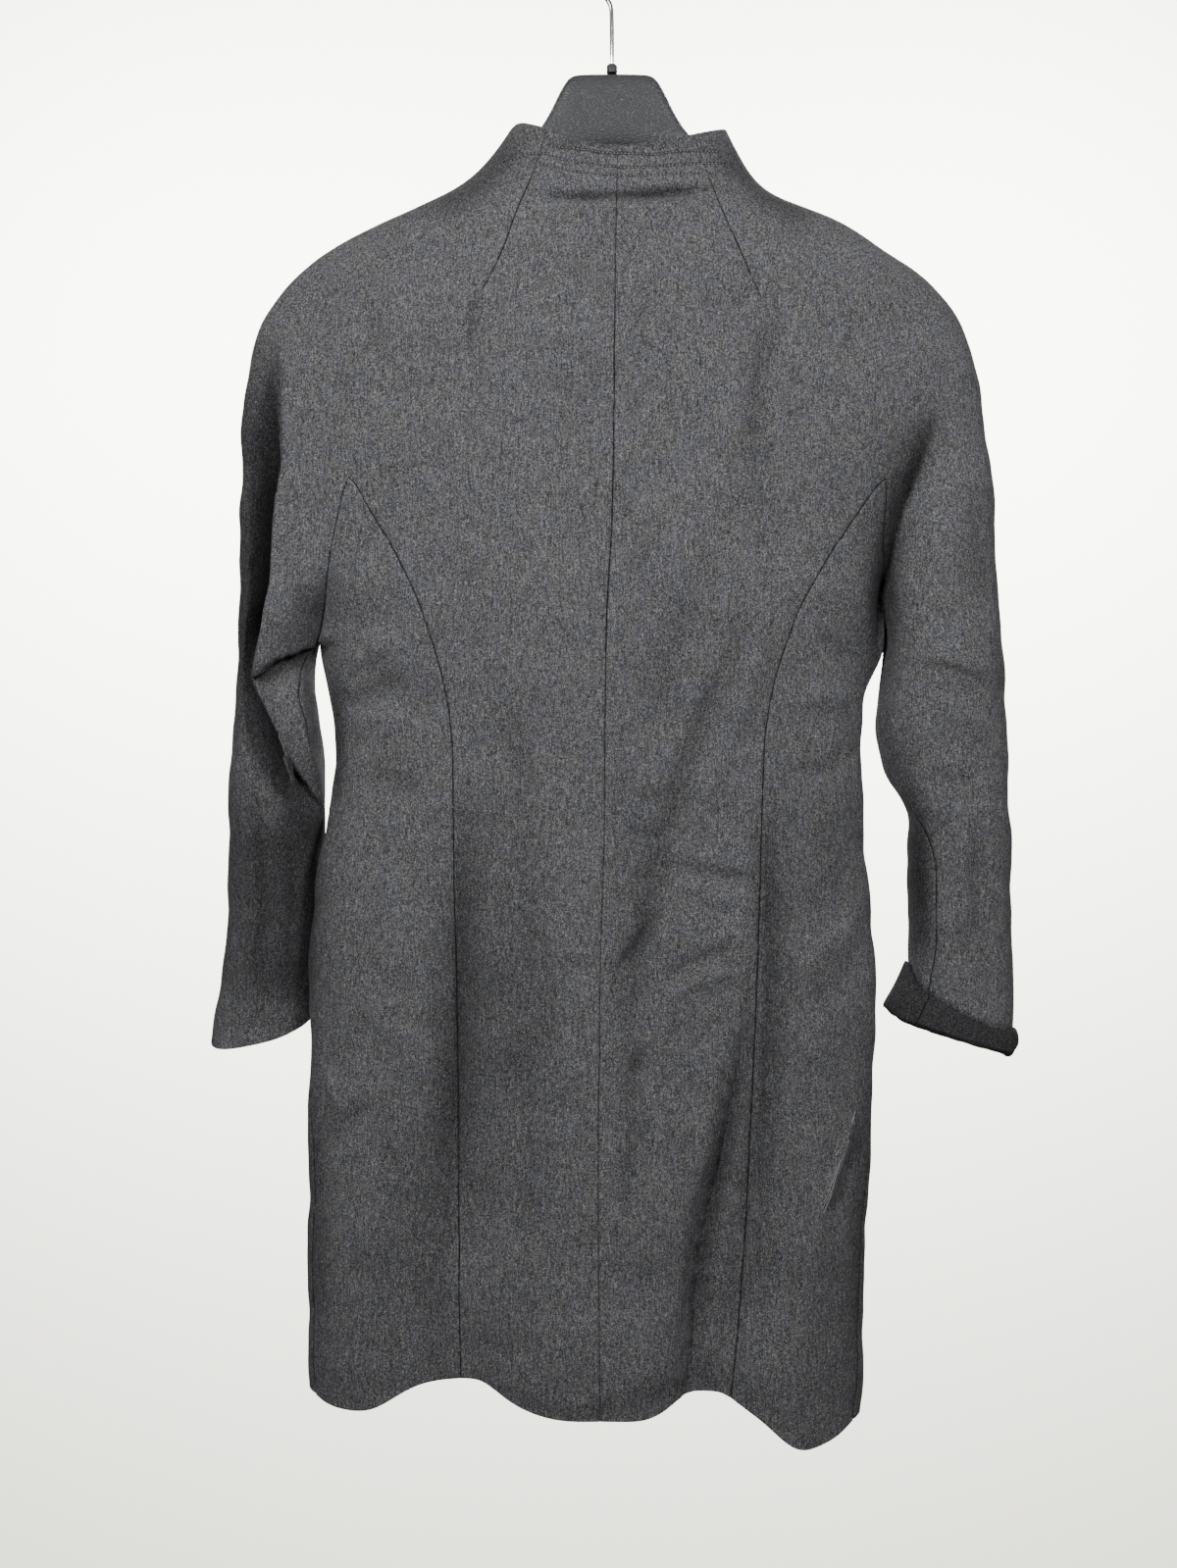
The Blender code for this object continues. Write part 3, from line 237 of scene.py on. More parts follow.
# Creases of the plain front, laid in the same way.
FRONT_FOLDS = (
    (0.7, 10.0, ((-150, -290), (-120, -350), (-100, -420))),
    (0.6, 10.0, ((152, -300), (126, -360), (104, -440))),
    (1.4, 9.0, ((-205, -560), (-170, -590), (-120, -600))),
    (-1.2, 10.0, ((-200, -590), (-165, -625), (-110, -640))),
    (1.4, 9.0, ((190, -570), (150, -600), (100, -615))),
    (-1.1, 10.0, ((185, -600), (150, -640), (90, -660))),
    (1.3, 6.0, ((-60, -640), (-95, -655), (-130, -650))),
    (1.2, 6.0, ((50, -660), (85, -668), (118, -655))),
    (-1.1, 7.0, ((-55, -690), (-90, -712), (-135, -716))),
    (1.3, 12.0, ((-120, -760), (-112, -880), (-116, -1010), (-110, -1090))),
    (1.5, 12.0, ((96, -750), (104, -880), (98, -1000), (92, -1100))),
    (-1.3, 14.0, ((-165, -800), (-160, -920), (-166, -1060))),
    (-1.3, 14.0, ((140, -790), (146, -930), (142, -1070))),
    (1.0, 12.0, ((-60, -850), (-54, -950), (-60, -1060))),
    (1.1, 9.0, ((48, -870), (52, -960), (46, -1040))),
    (-1.0, 9.0, ((250, -420), (256, -500), (252, -560))),
    (1.3, 6.0, ((226, -600), (256, -612), (286, -602))),
    (1.2, 6.0, ((232, -660), (262, -672), (290, -664))),
    (-1.2, 7.0, ((238, -700), (264, -716), (290, -720))),
    (1.2, 6.0, ((-234, -610), (-262, -622), (-288, -612))),
    (1.3, 6.0, ((-232, -668), (-262, -684), (-290, -672))),
    (-1.1, 7.0, ((-240, -722), (-266, -738), (-292, -730))),
)

# Painted shade where the cloth falls into shadow, as broad strokes in millimetres:
# how much darker, half the breadth, points as x, z.
PAINTED_SHADE_STROKES = (
    (0.42, 15.0, ((-66, -150), (-84, -176), (-109, -203), (-150, -225))),
    (0.42, 15.0, ((74, -150), (93, -180), (120, -207), (160, -232))),
    (0.50, 3.0, ((-62, -207), (-46, -209), (-18, -210), (11, -209), (31, -207), (55, -204), (84, -199))),
    (0.30, 5.0, ((-60, -160), (-30, -166), (6, -169), (50, -167), (76, -160))),
    (0.24, 4.0, ((-102, -280), (-105, -300), (-106, -335))),
    (0.16, 8.0, ((120, -280), (114, -310), (108, -350), (104, -410))),
    (0.16, 6.0, ((10, -312), (20, -298), (33, -282))),
    (0.14, 10.0, ((-176, -1100), (-172, -1000), (-168, -900), (-158, -860))),
    (0.55, 42.0, ((-280, -640), (-268, -700), (-266, -780), (-270, -850))),
    (0.40, 14.0, ((-238, -640), (-236, -720), (-240, -830))),
    (0.30, 5.0, ((-252, -670), (-250, -740), (-258, -850))),
    (0.25, 4.0, ((-276, -640), (-272, -720), (-278, -830))),
    (0.45, 14.0, ((-283, -300), (-283, -420), (-284, -520), (-286, -640))),
    (0.55, 7.0, ((-266, -365), (-266, -430), (-270, -510), (-276, -575))),
    (0.45, 8.0, ((-268, -595), (-257, -640), (-243, -685))),
    (0.55, 8.0, ((-213, -556), (-210, -600), (-212, -680))),
    (0.80, 4.5, ((215, -780), (222, -788), (232, -803), (238, -812), (248, -817), (264, -828), (280, -835),
                 (290, -838), (306, -838), (314, -838))),
    (0.60, 9.5, ((224, -660), (233, -700), (236, -760), (236, -800))),
    (0.30, 9.0, ((246, -366), (232, -404), (222, -436))),
    (0.55, 8.5, ((221, -440), (212, -478), (207, -520), (203, -566))),
    (0.20, 22.0, ((172, -640), (166, -700), (160, -765))),
    (0.30, 7.0, ((222, -640), (236, -700), (238, -760))),
    (0.25, 9.0, ((-200, -1105), (-110, -1098), (-30, -1115), (60, -1095), (150, -1120))),
    (0.30, 10.0, ((-226, -860), (-226, -980), (-224, -1090))),
    (0.30, 10.0, ((192, -860), (188, -1000), (182, -1110))),
    (0.22, 16.0, ((-128, -690), (-124, -780), (-124, -900), (-128, -1010))),
    (0.25, 12.0, ((122, -640), (122, -740), (116, -860), (106, -960))),
    (0.22, 9.0, ((98, -840), (84, -920), (72, -1000), (62, -1090))),
    (0.16, 20.0, ((-70, -700), (-66, -800), (-70, -920))),
    (0.18, 9.0, ((22, -700), (24, -760), (12, -830), (8, -900))),
)

# Soft unevenness that no named crease explains: length of the wave, direction in degrees, height.
WAVES = ((0.131, 20, 0.30), (0.117, 74, 0.26), (0.104, 128, 0.28), (0.089, 160, 0.22), (0.083, 48, 0.20),
         (0.071, 98, 0.20), (0.063, 8, 0.16), (0.057, 140, 0.16), (0.049, 62, 0.13), (0.043, 112, 0.12),
         (0.037, 32, 0.10), (0.031, 84, 0.09))


# ---------------------------------------------------------------- settings a user would change

class WoolSettings(bpy.types.PropertyGroup):
    colour: FloatVectorProperty(name="Wool", description="Mean colour of the melange", subtype="COLOR",
                                size=3, min=0.0, max=1.0, default=(0.104, 0.1035, 0.1085))
    melange: FloatProperty(name="Melange", description="Contrast between light and dark fibres",
                           min=0.0, max=1.0, default=0.345, subtype="FACTOR")
    crease: FloatProperty(name="Creases", description="Strength of all the creases", min=0.0, max=3.0,
                          default=2.3, subtype="FACTOR")
    rounding: IntProperty(name="Rounding", description="Times that each panel's mesh is divided", min=1,
                          max=3, default=3)
    seam_depth: FloatProperty(name="Seam depth", description="How far a seam sinks into the cloth",
                              min=0.0, max=0.004, default=0.0009, subtype="DISTANCE", unit="LENGTH")


class HangerSettings(bpy.types.PropertyGroup):
    colour: FloatVectorProperty(name="Hanger", description="Colour of the moulded plastic",
                                subtype="COLOR", size=3, min=0.0, max=1.0, default=(0.050, 0.051, 0.054))
    hook_colour: FloatVectorProperty(name="Hook", description="Colour of the plated wire",
                                     subtype="COLOR", size=3, min=0.0, max=1.0, default=(0.62, 0.62, 0.64))
    button_colour: FloatVectorProperty(name="Buttons", description="Colour of the buttons",
                                       subtype="COLOR", size=3, min=0.0, max=1.0,
                                       default=(0.012, 0.012, 0.014))


class StageSettings(bpy.types.PropertyGroup):
    floor_drop: FloatProperty(name="Floor drop", description="Height of the floor below the hem",
                              min=0.05, max=5.0, default=2.2, subtype="DISTANCE", unit="LENGTH")
    key_power: FloatProperty(name="Key lights", description="Power of each light beside the camera",
                             min=0.0, max=500.0, default=9.2, unit="POWER")
    wall_power: FloatProperty(name="Wall lights", description="Power of each light on the backdrop",
                              min=0.0, max=900.0, default=400.0, unit="POWER")
    front_power: FloatProperty(name="Front lights", description="Power of each light before the front",
                               min=0.0, max=500.0, default=30.0, unit="POWER")
    ambient: FloatProperty(name="Room light", description="Strength of the light from all round",
                           min=0.0, max=4.0, default=0.09)
    sky: FloatProperty(name="Room tone", description="Brightness of the room behind the object", min=0.0,
                       max=8.0, default=2.2)


# ---------------------------------------------------------------- materials

class Signal:
    """A socket of a node tree that adds Math nodes when it is used in an expression."""

    def __init__(self, tree, socket):
        self.tree, self.socket = tree, socket

    def maths(self, operation, *terms):
        node = self.tree.nodes.new("ShaderNodeMath")
        node.operation = operation
        for slot, value in zip(node.inputs, terms):
            connect(self.tree, slot, value)
        return Signal(self.tree, node.outputs[0])

    def __add__(self, other):
        return self.maths("ADD", self, other)

    def __sub__(self, other):
        return self.maths("SUBTRACT", self, other)

    def __rsub__(self, other):
        return self.maths("SUBTRACT", other, self)

    def __mul__(self, other):
        return self.maths("MULTIPLY", self, other)

    def size(self):
        return self.maths("ABSOLUTE", self)

    def clamped(self):
        node = self.maths("ADD", self, 0.0)
        node.socket.node.use_clamp = True
        return node

    def above(self, low, high):
        """0 below low, 1 above high, smooth between."""
        node = self.tree.nodes.new("ShaderNodeMapRange")
        node.interpolation_type = "SMOOTHSTEP"
        for name, value in (("Value", self), ("From Min", low), ("From Max", high)):
            connect(self.tree, node.inputs[name], value)
        return Signal(self.tree, node.outputs["Result"])


def connect(tree, slot, value):
    """Link a signal to a socket, or set its value."""
    if isinstance(value, Signal):
        tree.links.new(value.socket, slot)
    else:
        slot.default_value = value


class Finish:
    """One material: its node tree, its shader, and the points of the surface in metres."""

    def __init__(self, name, **fixed):
        self.material = bpy.data.materials.new(name)
        self.material.use_nodes = True
        self.tree = self.material.node_tree
        self.shader = self.tree.nodes["Principled BSDF"]
        for key, value in fixed.items():
            next(slot for slot in self.shader.inputs
                 if slot.name.lower().replace(" ", "_") == key).default_value = value
        self.place = self.node("ShaderNodeTexCoord", output="Object")

    def node(self, kind, settings=(), sockets=(), output=0):
        node = self.tree.nodes.new(kind)
        for key, value in dict(settings).items():
            setattr(node, key, value)
        for key, value in dict(sockets).items():
            connect(self.tree, node.inputs[key], value)
        return Signal(self.tree, node.outputs[output])

    def stretched(self, scale, turn=0.0):
        """The surface's points turned about y and scaled, for grain that runs one way."""
        return self.node("ShaderNodeMapping", sockets={"Vector": self.place, "Scale": scale,
                                                       "Rotation": (0.0, math.radians(turn), 0.0)})

    def noise(self, scale, detail=2.0, rough=0.5, place=None):
        return self.node("ShaderNodeTexNoise", sockets={"Vector": place or self.place, "Scale": scale,
                                                        "Detail": detail, "Roughness": rough})

    def blend(self, factor, first, second, how="MIX"):
        """Colour between two colours."""
        return self.node("ShaderNodeMix", {"data_type": "RGBA", "blend_type": how},
                         {0: factor, 6: first, 7: second}, output=2)

    def mark(self, name):
        """A value that the mesh carries at its points."""
        return self.node("ShaderNodeAttribute", {"attribute_name": name}, output="Fac")

    def bump(self, height, strength, distance):
        return self.node("ShaderNodeBump", sockets={"Height": height, "Strength": strength,
                                                    "Distance": distance})

    def use(self, socket, value):
        connect(self.tree, self.shader.inputs[socket], value)


def shade(colour, factor):
    """A colour made lighter or darker, for a socket."""
    return tuple(min(1.0, channel * factor) for channel in colour) + (1.0,)


def wool_finish(name, settings):
    """Charcoal melange: dark ground, lighter and darker yarns, light fibres lying all ways, a soft fibre
    sheen; painted shade along the seams, in the stitch grooves and where the points are marked darker.
    """
    wool = Finish(name, roughness=0.95, specular_ior_level=0.12, sheen_weight=0.04, sheen_roughness=0.6)
    base = tuple(settings.colour)
    grain, flecks, broad = wool.noise(1230.0, 0.0), wool.noise(1700.0, 0.0), wool.noise(14.0)
    warp, weft, streaks = (wool.noise(1.0, 0.0, place=wool.stretched(scale)) for scale in
                           ((1300.0, 1300.0, 480.0), (420.0, 420.0, 950.0), (900.0, 900.0, 95.0)))
    tone = ((grain - 0.5) * 2.6 + (flecks - 0.5) * 2.2 + (warp - 0.5) * 1.7 + (weft - 0.5) * 0.9
            + (streaks - 0.5) * 1.1 + (broad - 0.5) * 0.2)
    level = (tone * settings.melange + 0.5).clamped()
    colour = wool.blend(level * level, shade(base, 0.3), shade(base, 3.2))
    warmth = wool.blend(wool.noise(75.0).above(0.4, 0.6), (1.015, 1.0, 0.978, 1.0),
                        (0.985, 0.993, 1.03, 1.0))
    colour = wool.blend(1.0, colour, warmth, "MULTIPLY")
    hairs = None
    for turn, scale in ((12.0, 1.0), (58.0, 1.3), (104.0, 0.85), (151.0, 1.15)):
        streak = wool.noise(scale, 1.0, 0.4, wool.stretched((1500.0, 700.0, 170.0), turn)).above(0.68, 0.78)
        hairs = streak if hairs is None else hairs + streak
    patch = wool.noise(260.0, 1.0).above(0.4, 0.65)
    colour = wool.blend((hairs * patch * 0.3).clamped(), colour, shade(base, 3.6))
    # Painted shade in the groove along each seam and dart, ragged in width.
    pull = wool.noise(1.0, 1.0, 0.6, wool.stretched((60.0, 60.0, 240.0)))
    reach = wool.mark("seam").size().above(0.1, pull * 1.1 + 0.25)
    colour = wool.blend((1.0 - reach) * (pull.above(0.3, 0.5) * 0.4 + 0.55), colour, shade(base, 0.1))
    # Painted shade where the points are marked darker.
    colour = wool.blend(wool.mark("painted_shade"), colour, shade(base, 0.02))
    row = wool.mark("row")
    off = (row.maths("FRACT", row + 0.5) - 0.5).size()
    sewn = row.above(0.4, 0.6) * (1.0 - row.above(3.4, 3.6)) * wool.mark("sewn")
    # Painted shade in the grooves of the stitching rows at the neck; the same grooves are also sunk by the
    # bump.
    groove = (1.0 - off.above(0.03, 0.2)) * sewn
    wool.use("Base Color", wool.blend(groove * 0.6, colour, shade(base, 0.1)))
    height = grain * 0.6 + flecks * 0.4 + warp * 0.5 + weft * 0.4 + hairs * 0.25 - groove * 1.6
    wool.use("Normal", wool.bump(height, 0.4, 0.0004))
    return wool.material


def hanger_finish(settings):
    """Moulded black plastic with a fine leather-like texture."""
    plastic = Finish("hanger_plastic", roughness=0.42, specular_ior_level=0.5)
    base = tuple(settings.colour)
    pebbles = plastic.node("ShaderNodeTexVoronoi", {"feature": "SMOOTH_F1"},
                           {"Vector": plastic.stretched((420.0, 420.0, 1100.0)), "Scale": 1.0,
                            "Smoothness": 0.6}, output="Distance")
    dust = plastic.noise(140.0, 3.0, 0.6).above(0.55, 0.75)
    light = (dust * 0.3 + pebbles * 0.9).clamped()
    plastic.use("Base Color", plastic.blend(light, shade(base, 0.88), shade(base, 2.3)))
    plastic.use("Roughness", plastic.noise(60.0, 2.0) * 0.14 + 0.36)
    plastic.use("Normal", plastic.bump(pebbles, 0.8, 0.0007))
    return plastic.material


def chrome_finish(settings):
    """Plated wire, a little worn."""
    chrome = Finish("hook_chrome", metallic=1.0)
    base = tuple(settings.hook_colour)
    wear = chrome.noise(220.0, 3.0, 0.6)
    chrome.use("Base Color", chrome.blend(wear.above(0.5, 0.8), shade(base, 1.0), shade(base, 0.9)))
    chrome.use("Roughness", wear * 0.06 + 0.1)
    return chrome.material


def button_finish(settings):
    """Dark clouded horn."""
    horn = Finish("button_horn", specular_ior_level=0.5)
    base = tuple(settings.button_colour)
    cloud = horn.noise(260.0, 3.0, 0.6, horn.stretched((1.0, 1.0, 0.35), 25.0))
    horn.use("Base Color", horn.blend(cloud.above(0.35, 0.7), shade(base, 0.8), shade(base, 2.4)))
    horn.use("Roughness", cloud * 0.1 + 0.26)
    return horn.material


def thread_finish(name, colour):
    """Twisted thread or a fibre."""
    thread = Finish(name, roughness=0.7, sheen_weight=0.2)
    twist = thread.noise(1500.0, 1.0)
    thread.use("Base Color", thread.blend(twist, shade(colour, 0.7), shade(colour, 1.3)))
    return thread.material


def stage_finish(name, colour):
    """Matt paint that gives a little light of its own."""
    paint = Finish(name, roughness=0.9, specular_ior_level=0.2)
    tone = paint.noise(3.0, 3.0)
    paint.use("Base Color", paint.blend(tone, shade(colour, 0.985), shade(colour, 1.0)))
    paint.shader.inputs["Emission Color"].default_value = shade(colour, 1.0)
    paint.shader.inputs["Emission Strength"].default_value = 0.85
    return paint.material


# ---------------------------------------------------------------- meshes

def values(items, key, width=1, kind=float):
    """One property of all the items, as an array."""
    flat = np.empty(len(items) * width, dtype=kind)
    items.foreach_get(key, flat)
    return flat.reshape(-1, width) if width > 1 else flat


def linked(name, data):
    """A new object in the scene."""
    item = bpy.data.objects.new(name, data)
    bpy.context.scene.collection.objects.link(item)
    return item


def built(name, shape, material, smooth=True):
    """A new object from a finished bmesh."""
    mesh = bpy.data.meshes.new(name)
    shape.to_mesh(mesh)
    shape.free()
    if smooth:
        mesh.shade_smooth()
    mesh.materials.append(material)
    return linked(name, mesh)


def tube(shape, rings, step=1):
    """Faces from each ring of points to the next."""
    for first, second in zip(rings, rings[1:]):
        for k in range(len(first)):
            other = (k + step) % len(first)
            shape.faces.new((first[k], first[other], second[other], second[k]))


def welded(node):
    """A solid's mesh with its doubled points joined."""
    shape = bmesh.new()
    shape.from_mesh(frame["nodes"][node].data)
    bmesh.ops.remove_doubles(shape, verts=shape.verts, dist=SAME)
    return shape


def drop_diagonals(shape):
    """Take out the edges that split four-sided faces into triangles."""
    longest = {face: max(edge.calc_length() for edge in face.edges) for face in shape.faces}
    diagonals = [edge for edge in shape.edges if len(edge.link_faces) == 2
                 and all(edge.calc_length() >= longest[face] - 1e-9 for face in edge.link_faces)]
    bmesh.ops.dissolve_edges(shape, edges=diagonals, use_verts=False)


# ---------------------------------------------------------------- the cloth's shape

def outer_sheet(node, facing):
    """Outer face of a cloth solid, in the four-sided faces it was made of."""
    sheet = welded(node)
    through = {edge for edge in sheet.edges
               if min(abs(edge.calc_length() - wall) for wall in (CLOTH, 2 * CLOTH)) < 4 * SAME}
    rim = [face for face in sheet.faces if any(edge in through for edge in face.edges)]
    bmesh.ops.delete(sheet, geom=rim, context="FACES_ONLY")
    regions, seen = [], set()
    for start in sheet.faces:
        if start in seen:
            continue
        region, waiting = [], [start]
        seen.add(start)
        while waiting:
            face = waiting.pop()
            region.append(face)
            near = {other for edge in face.edges for other in edge.link_faces} - seen
            seen |= near
            waiting += near
        regions.append(region)
    keep = set(max(sorted(regions, key=len)[-2:],
                   key=lambda region: facing * sum(face.normal.y * face.calc_area() for face in region)))
    bmesh.ops.delete(sheet, geom=[face for face in sheet.faces if face not in keep], context="FACES")
    drop_diagonals(sheet)
    return sheet


def joined_garment():
    """All panels in one mesh, welded along their seams; a face's material number is its panel."""
    points, faces, panels = [], [], []
    for number, (node, facing) in enumerate(PANELS.items()):
        sheet = outer_sheet(node, facing)
        start = len(points)
        sheet.verts.index_update()
        points += [tuple(vert.co) for vert in sheet.verts]
        faces += [tuple(vert.index + start for vert in face.verts) for face in sheet.faces]
        panels += [number] * len(sheet.faces)
        sheet.free()
    mesh = bpy.data.meshes.new("garment")
    mesh.from_pydata(points, [], faces)
    mesh.polygons.foreach_set("material_index", panels)
    for _ in NAMES:
        mesh.materials.append(None)
    shape = bmesh.new()
    shape.from_mesh(mesh)
    bmesh.ops.remove_doubles(shape, verts=shape.verts, dist=WELD)
    tips = []
    for side in (-1, 1):
        tip = [vert for vert in shape.verts if vert.is_boundary and vert.co.x * side > ARMPIT[0]
               and abs(vert.co.z - ARMPIT[1]) < 2 * WELD]
        top = max(tip, key=lambda vert: vert.co.z)
        place = top.co.copy()
        bmesh.ops.pointmerge(shape, verts=tip, merge_co=place)
        tips.append(place)
    crease = shape.edges.layers.float.new("crease_edge")
    for edge in shape.edges:
        if len(edge.link_faces) == 2:
            fold = math.degrees(edge.calc_face_angle())
            edge[crease] = 0.5 * min(1.0, max(0.0, (fold - 40) / 40))
    corner = shape.verts.layers.float.new("crease_vert")
    for vert in shape.verts:
        vert[corner] = 1.0 if any((vert.co - place).length < 1e-5 for place in tips) else 0.0
    chain = shape.verts.layers.float.new("dart")
    for side, path in DARTS.items():
        heights, middles = [-z for _, z in path], [x for x, _ in path]
        rows = {}
        for vert in shape.verts:
            x, y, z = vert.co / MM
            off = abs(x - np.interp(-z, heights, middles))
            if y < 0 and off < 1.5 and -300 < z < -150:
                row = round(z / 6)
                if row not in rows or off < rows[row][0]:
                    rows[row] = (off, vert)
        for _, vert in rows.values():
            vert[chain] = 1.0
    shape.to_mesh(mesh)
    shape.free()
    return mesh


def fitted_cage(body, subdivision):
    """Move the coarse mesh until the smooth one passes through the coarse mesh's first points."""
    mesh = body.data
    wanted = values(mesh.vertices, "co", 3)
    cage = wanted.copy()
    subdivision.levels = 1
    for _ in range(FIT_ROUNDS):
        done = body.evaluated_get(bpy.context.evaluated_depsgraph_get()).to_mesh()
        miss = wanted - values(done.vertices, "co", 3)[:len(wanted)]
        far = np.linalg.norm(miss, axis=1, keepdims=True)
        far[wanted[:, 2] > NECK_EDGE_Z] = 1.0
        cage += 0.8 * (miss * np.minimum(1.0, 0.004 / np.maximum(far, 1e-9)))
        mesh.vertices.foreach_set("co", cage.ravel())
        mesh.update()
        body.update_tag()


def divided(body, levels, fitted=True):
    """The evaluated object of a body whose mesh is divided and smoothed."""
    subdivision = body.modifiers.new("rounding", "SUBSURF")
    subdivision.boundary_smooth = "PRESERVE_CORNERS"
    if fitted:
        fitted_cage(body, subdivision)
    subdivision.levels = subdivision.render_levels = levels
    return body.evaluated_get(bpy.context.evaluated_depsgraph_get())


def rounded(mesh, levels):
    """The mesh divided and smoothed, as arrays: points, four-sided faces, panel numbers, dart points."""
    body = linked("garment", mesh)
    done = divided(body, levels).to_mesh()
    points = values(done.vertices, "co", 3)
    faces = values(done.loops, "vertex_index", 1, np.int64).reshape(-1, 4)
    panels = values(done.polygons, "material_index", 1, np.int64)
    chain = values(done.attributes["dart"].data, "value")
    bpy.data.objects.remove(body)
    return points, faces, panels, chain


def point_normals(points, faces):
    """Each point's normal, from the four-sided faces round it."""
    corner = points[faces]
    across = np.cross(corner[:, 2] - corner[:, 0], corner[:, 3] - corner[:, 1])
    total = np.zeros_like(points)
    for k in range(4):
        np.add.at(total, faces[:, k], across)
    return total / np.maximum(np.linalg.norm(total, axis=1, keepdims=True), 1e-12)


def beside_path(x, z, path):
    """Distance of each point from a path, its side (1 on the left), and how near the path's ends it is."""
    path = np.array(path, dtype=float) * MM
    lengths = np.hypot(*(path[1:] - path[:-1]).T)
    total, run = lengths.sum(), 0.0
    nearest = np.full(len(x), 1e9)
    along = np.zeros(len(x))
    side = np.ones(len(x))
    for start, end, length in zip(path[:-1], path[1:], lengths):
        step = (end - start) / length
        t = np.clip((x - start[0]) * step[0] + (z - start[1]) * step[1], 0, length)
        gap = np.hypot(x - start[0] - step[0] * t, z - start[1] - step[1] * t)
        closer = gap < nearest
        turn = step[0] * (z - start[1]) - step[1] * (x - start[0])
        side = np.where(closer, np.where(turn >= 0, 1.0, -1.0), side)
        nearest = np.where(closer, gap, nearest)
        along = np.where(closer, run + t, along)
        run += length
    share = along / total
    ends = np.clip(np.minimum(share, 1 - share) / 0.3, 0, 1)
    return nearest, side, ends * ends * (3 - 2 * ends)


def near_path(x, z, path, width):
    """How much a crease along a path acts at each point: 1 on it, fading beside it and at its ends."""
    gap, _, ends = beside_path(x, z, path)
    return np.exp(-(gap / (width * MM)) ** 2) * (0.15 + 0.85 * ends)


def ledge(x, z, path, lift, reach, drop, fall):
    """Height of a fold that overhangs on one side of a path, in the units of lift and drop."""
    gap, side, ends = beside_path(x, z, path)
    raised = lift * np.exp(-(gap / (reach * MM)) ** 1.5)
    fallen = -drop * np.exp(-(gap / (fall * MM)) ** 1.5)
    return np.where(side > 0, raised, fallen) * ends


def button_spots():
    """Middle of each button, in metres."""
    items = [item for node, item in sorted(frame["nodes"].items()) if node.startswith("button_")]
    return [sum((item.matrix_world @ vert.co for vert in item.data.vertices), Vector())
            / len(item.data.vertices) for item in items]


def on_fronts(points, faces, panels):
    """1 for the points of the front panels, 0 for the rest."""
    marked = np.zeros(len(points))
    marked[faces[panels >= FIRST_FRONT].ravel()] = 1.0
    return marked


def creased(points, faces, on_front, strength):
    """Points moved along their normals by the named creases and the soft unevenness."""
    normals = point_normals(points, faces)
    x, z = points[:, 0], points[:, 2]
    back = np.clip(-normals[:, 1] / 0.4, 0, 1)
    front = np.clip(normals[:, 1] / 0.4, 0, 1)
    move = np.zeros(len(points))
    for lift, reach, drop, fall, _, _, path in LEDGES:
        move += MM * ledge(x, z, path, lift, reach, drop, fall) * back * (1 - on_front) / strength
    for depth, width, path in BACK_FOLDS:
        move -= depth * MM * near_path(x, z, path, width) * back * (1 - on_front * 0.999)
    for depth, width, path in FRONT_FOLDS:
        move -= depth * MM * near_path(x, z, path, width) * front * on_front
    wave = np.zeros(len(points))
    for number, (length, turn, height) in enumerate(WAVES):
        turn = math.radians(turn)
        phase = (x * math.cos(turn) + z * math.sin(turn) + points[:, 1] * 0.6) * 2 * math.pi / length
        swing = np.sin(z * (7.1 + number) + number * 1.7) + np.sin(x * (9.3 + number) + number)
        wave += 0.85 * height * MM * np.sin(phase + number * 2.1 + swing * 1.3)
    calm = np.clip((-0.2 - z) / 0.12, 0.25, 1)
    move += wave * calm
    under_cuff = np.clip((-0.755 - z) / 0.03, 0, 1) * (z > -0.9) * np.clip((x - 0.2) / 0.01, 0, 1)
    move = move * (1 - under_cuff) - 0.0002 * under_cuff
    for spot in button_spots():
        move *= 1 - np.exp(-(np.linalg.norm(points - np.array(spot), axis=1) / BUTTON_CALM) ** 4)
    points = points + normals * (move * strength)[:, None]
    points[:, 2] -= 0.45 * np.maximum(0.0, points[:, 2] - NECK_CORNER_Z)
    inside_cuff = under_cuff * np.clip((-0.805 - z) / 0.012, 0, 1) * np.clip((0.303 - x) / 0.008, 0, 1)
    points[:, 2] -= HIDDEN_SLEEVE * inside_cuff * back
    return points


def quad_edges(faces):
    """The four edges of each face, as sorted pairs of points."""
    return np.concatenate([np.sort(faces[:, [k, (k + 1) % 4]], axis=1) for k in range(4)])


def seam_edges(faces, panels):
    """Edges between two panels, as sorted pairs of points."""
    edges, owner = quad_edges(faces), np.tile(panels, 4)
    order = np.lexsort((edges[:, 1], edges[:, 0]))
    edges, owner = edges[order], owner[order]
    same = (edges[1:] == edges[:-1]).all(axis=1)
    return edges[:-1][same & (owner[1:] != owner[:-1])]


def dart_edges(points, faces, chain):
    """Edges of the rounded mesh between points that lie on a neck dart."""
    edges = np.unique(quad_edges(faces), axis=0)
    return edges[(chain[edges] > 0.999).all(axis=1) & (points[edges][:, :, 2] > DART_END_Z).all(axis=1)]


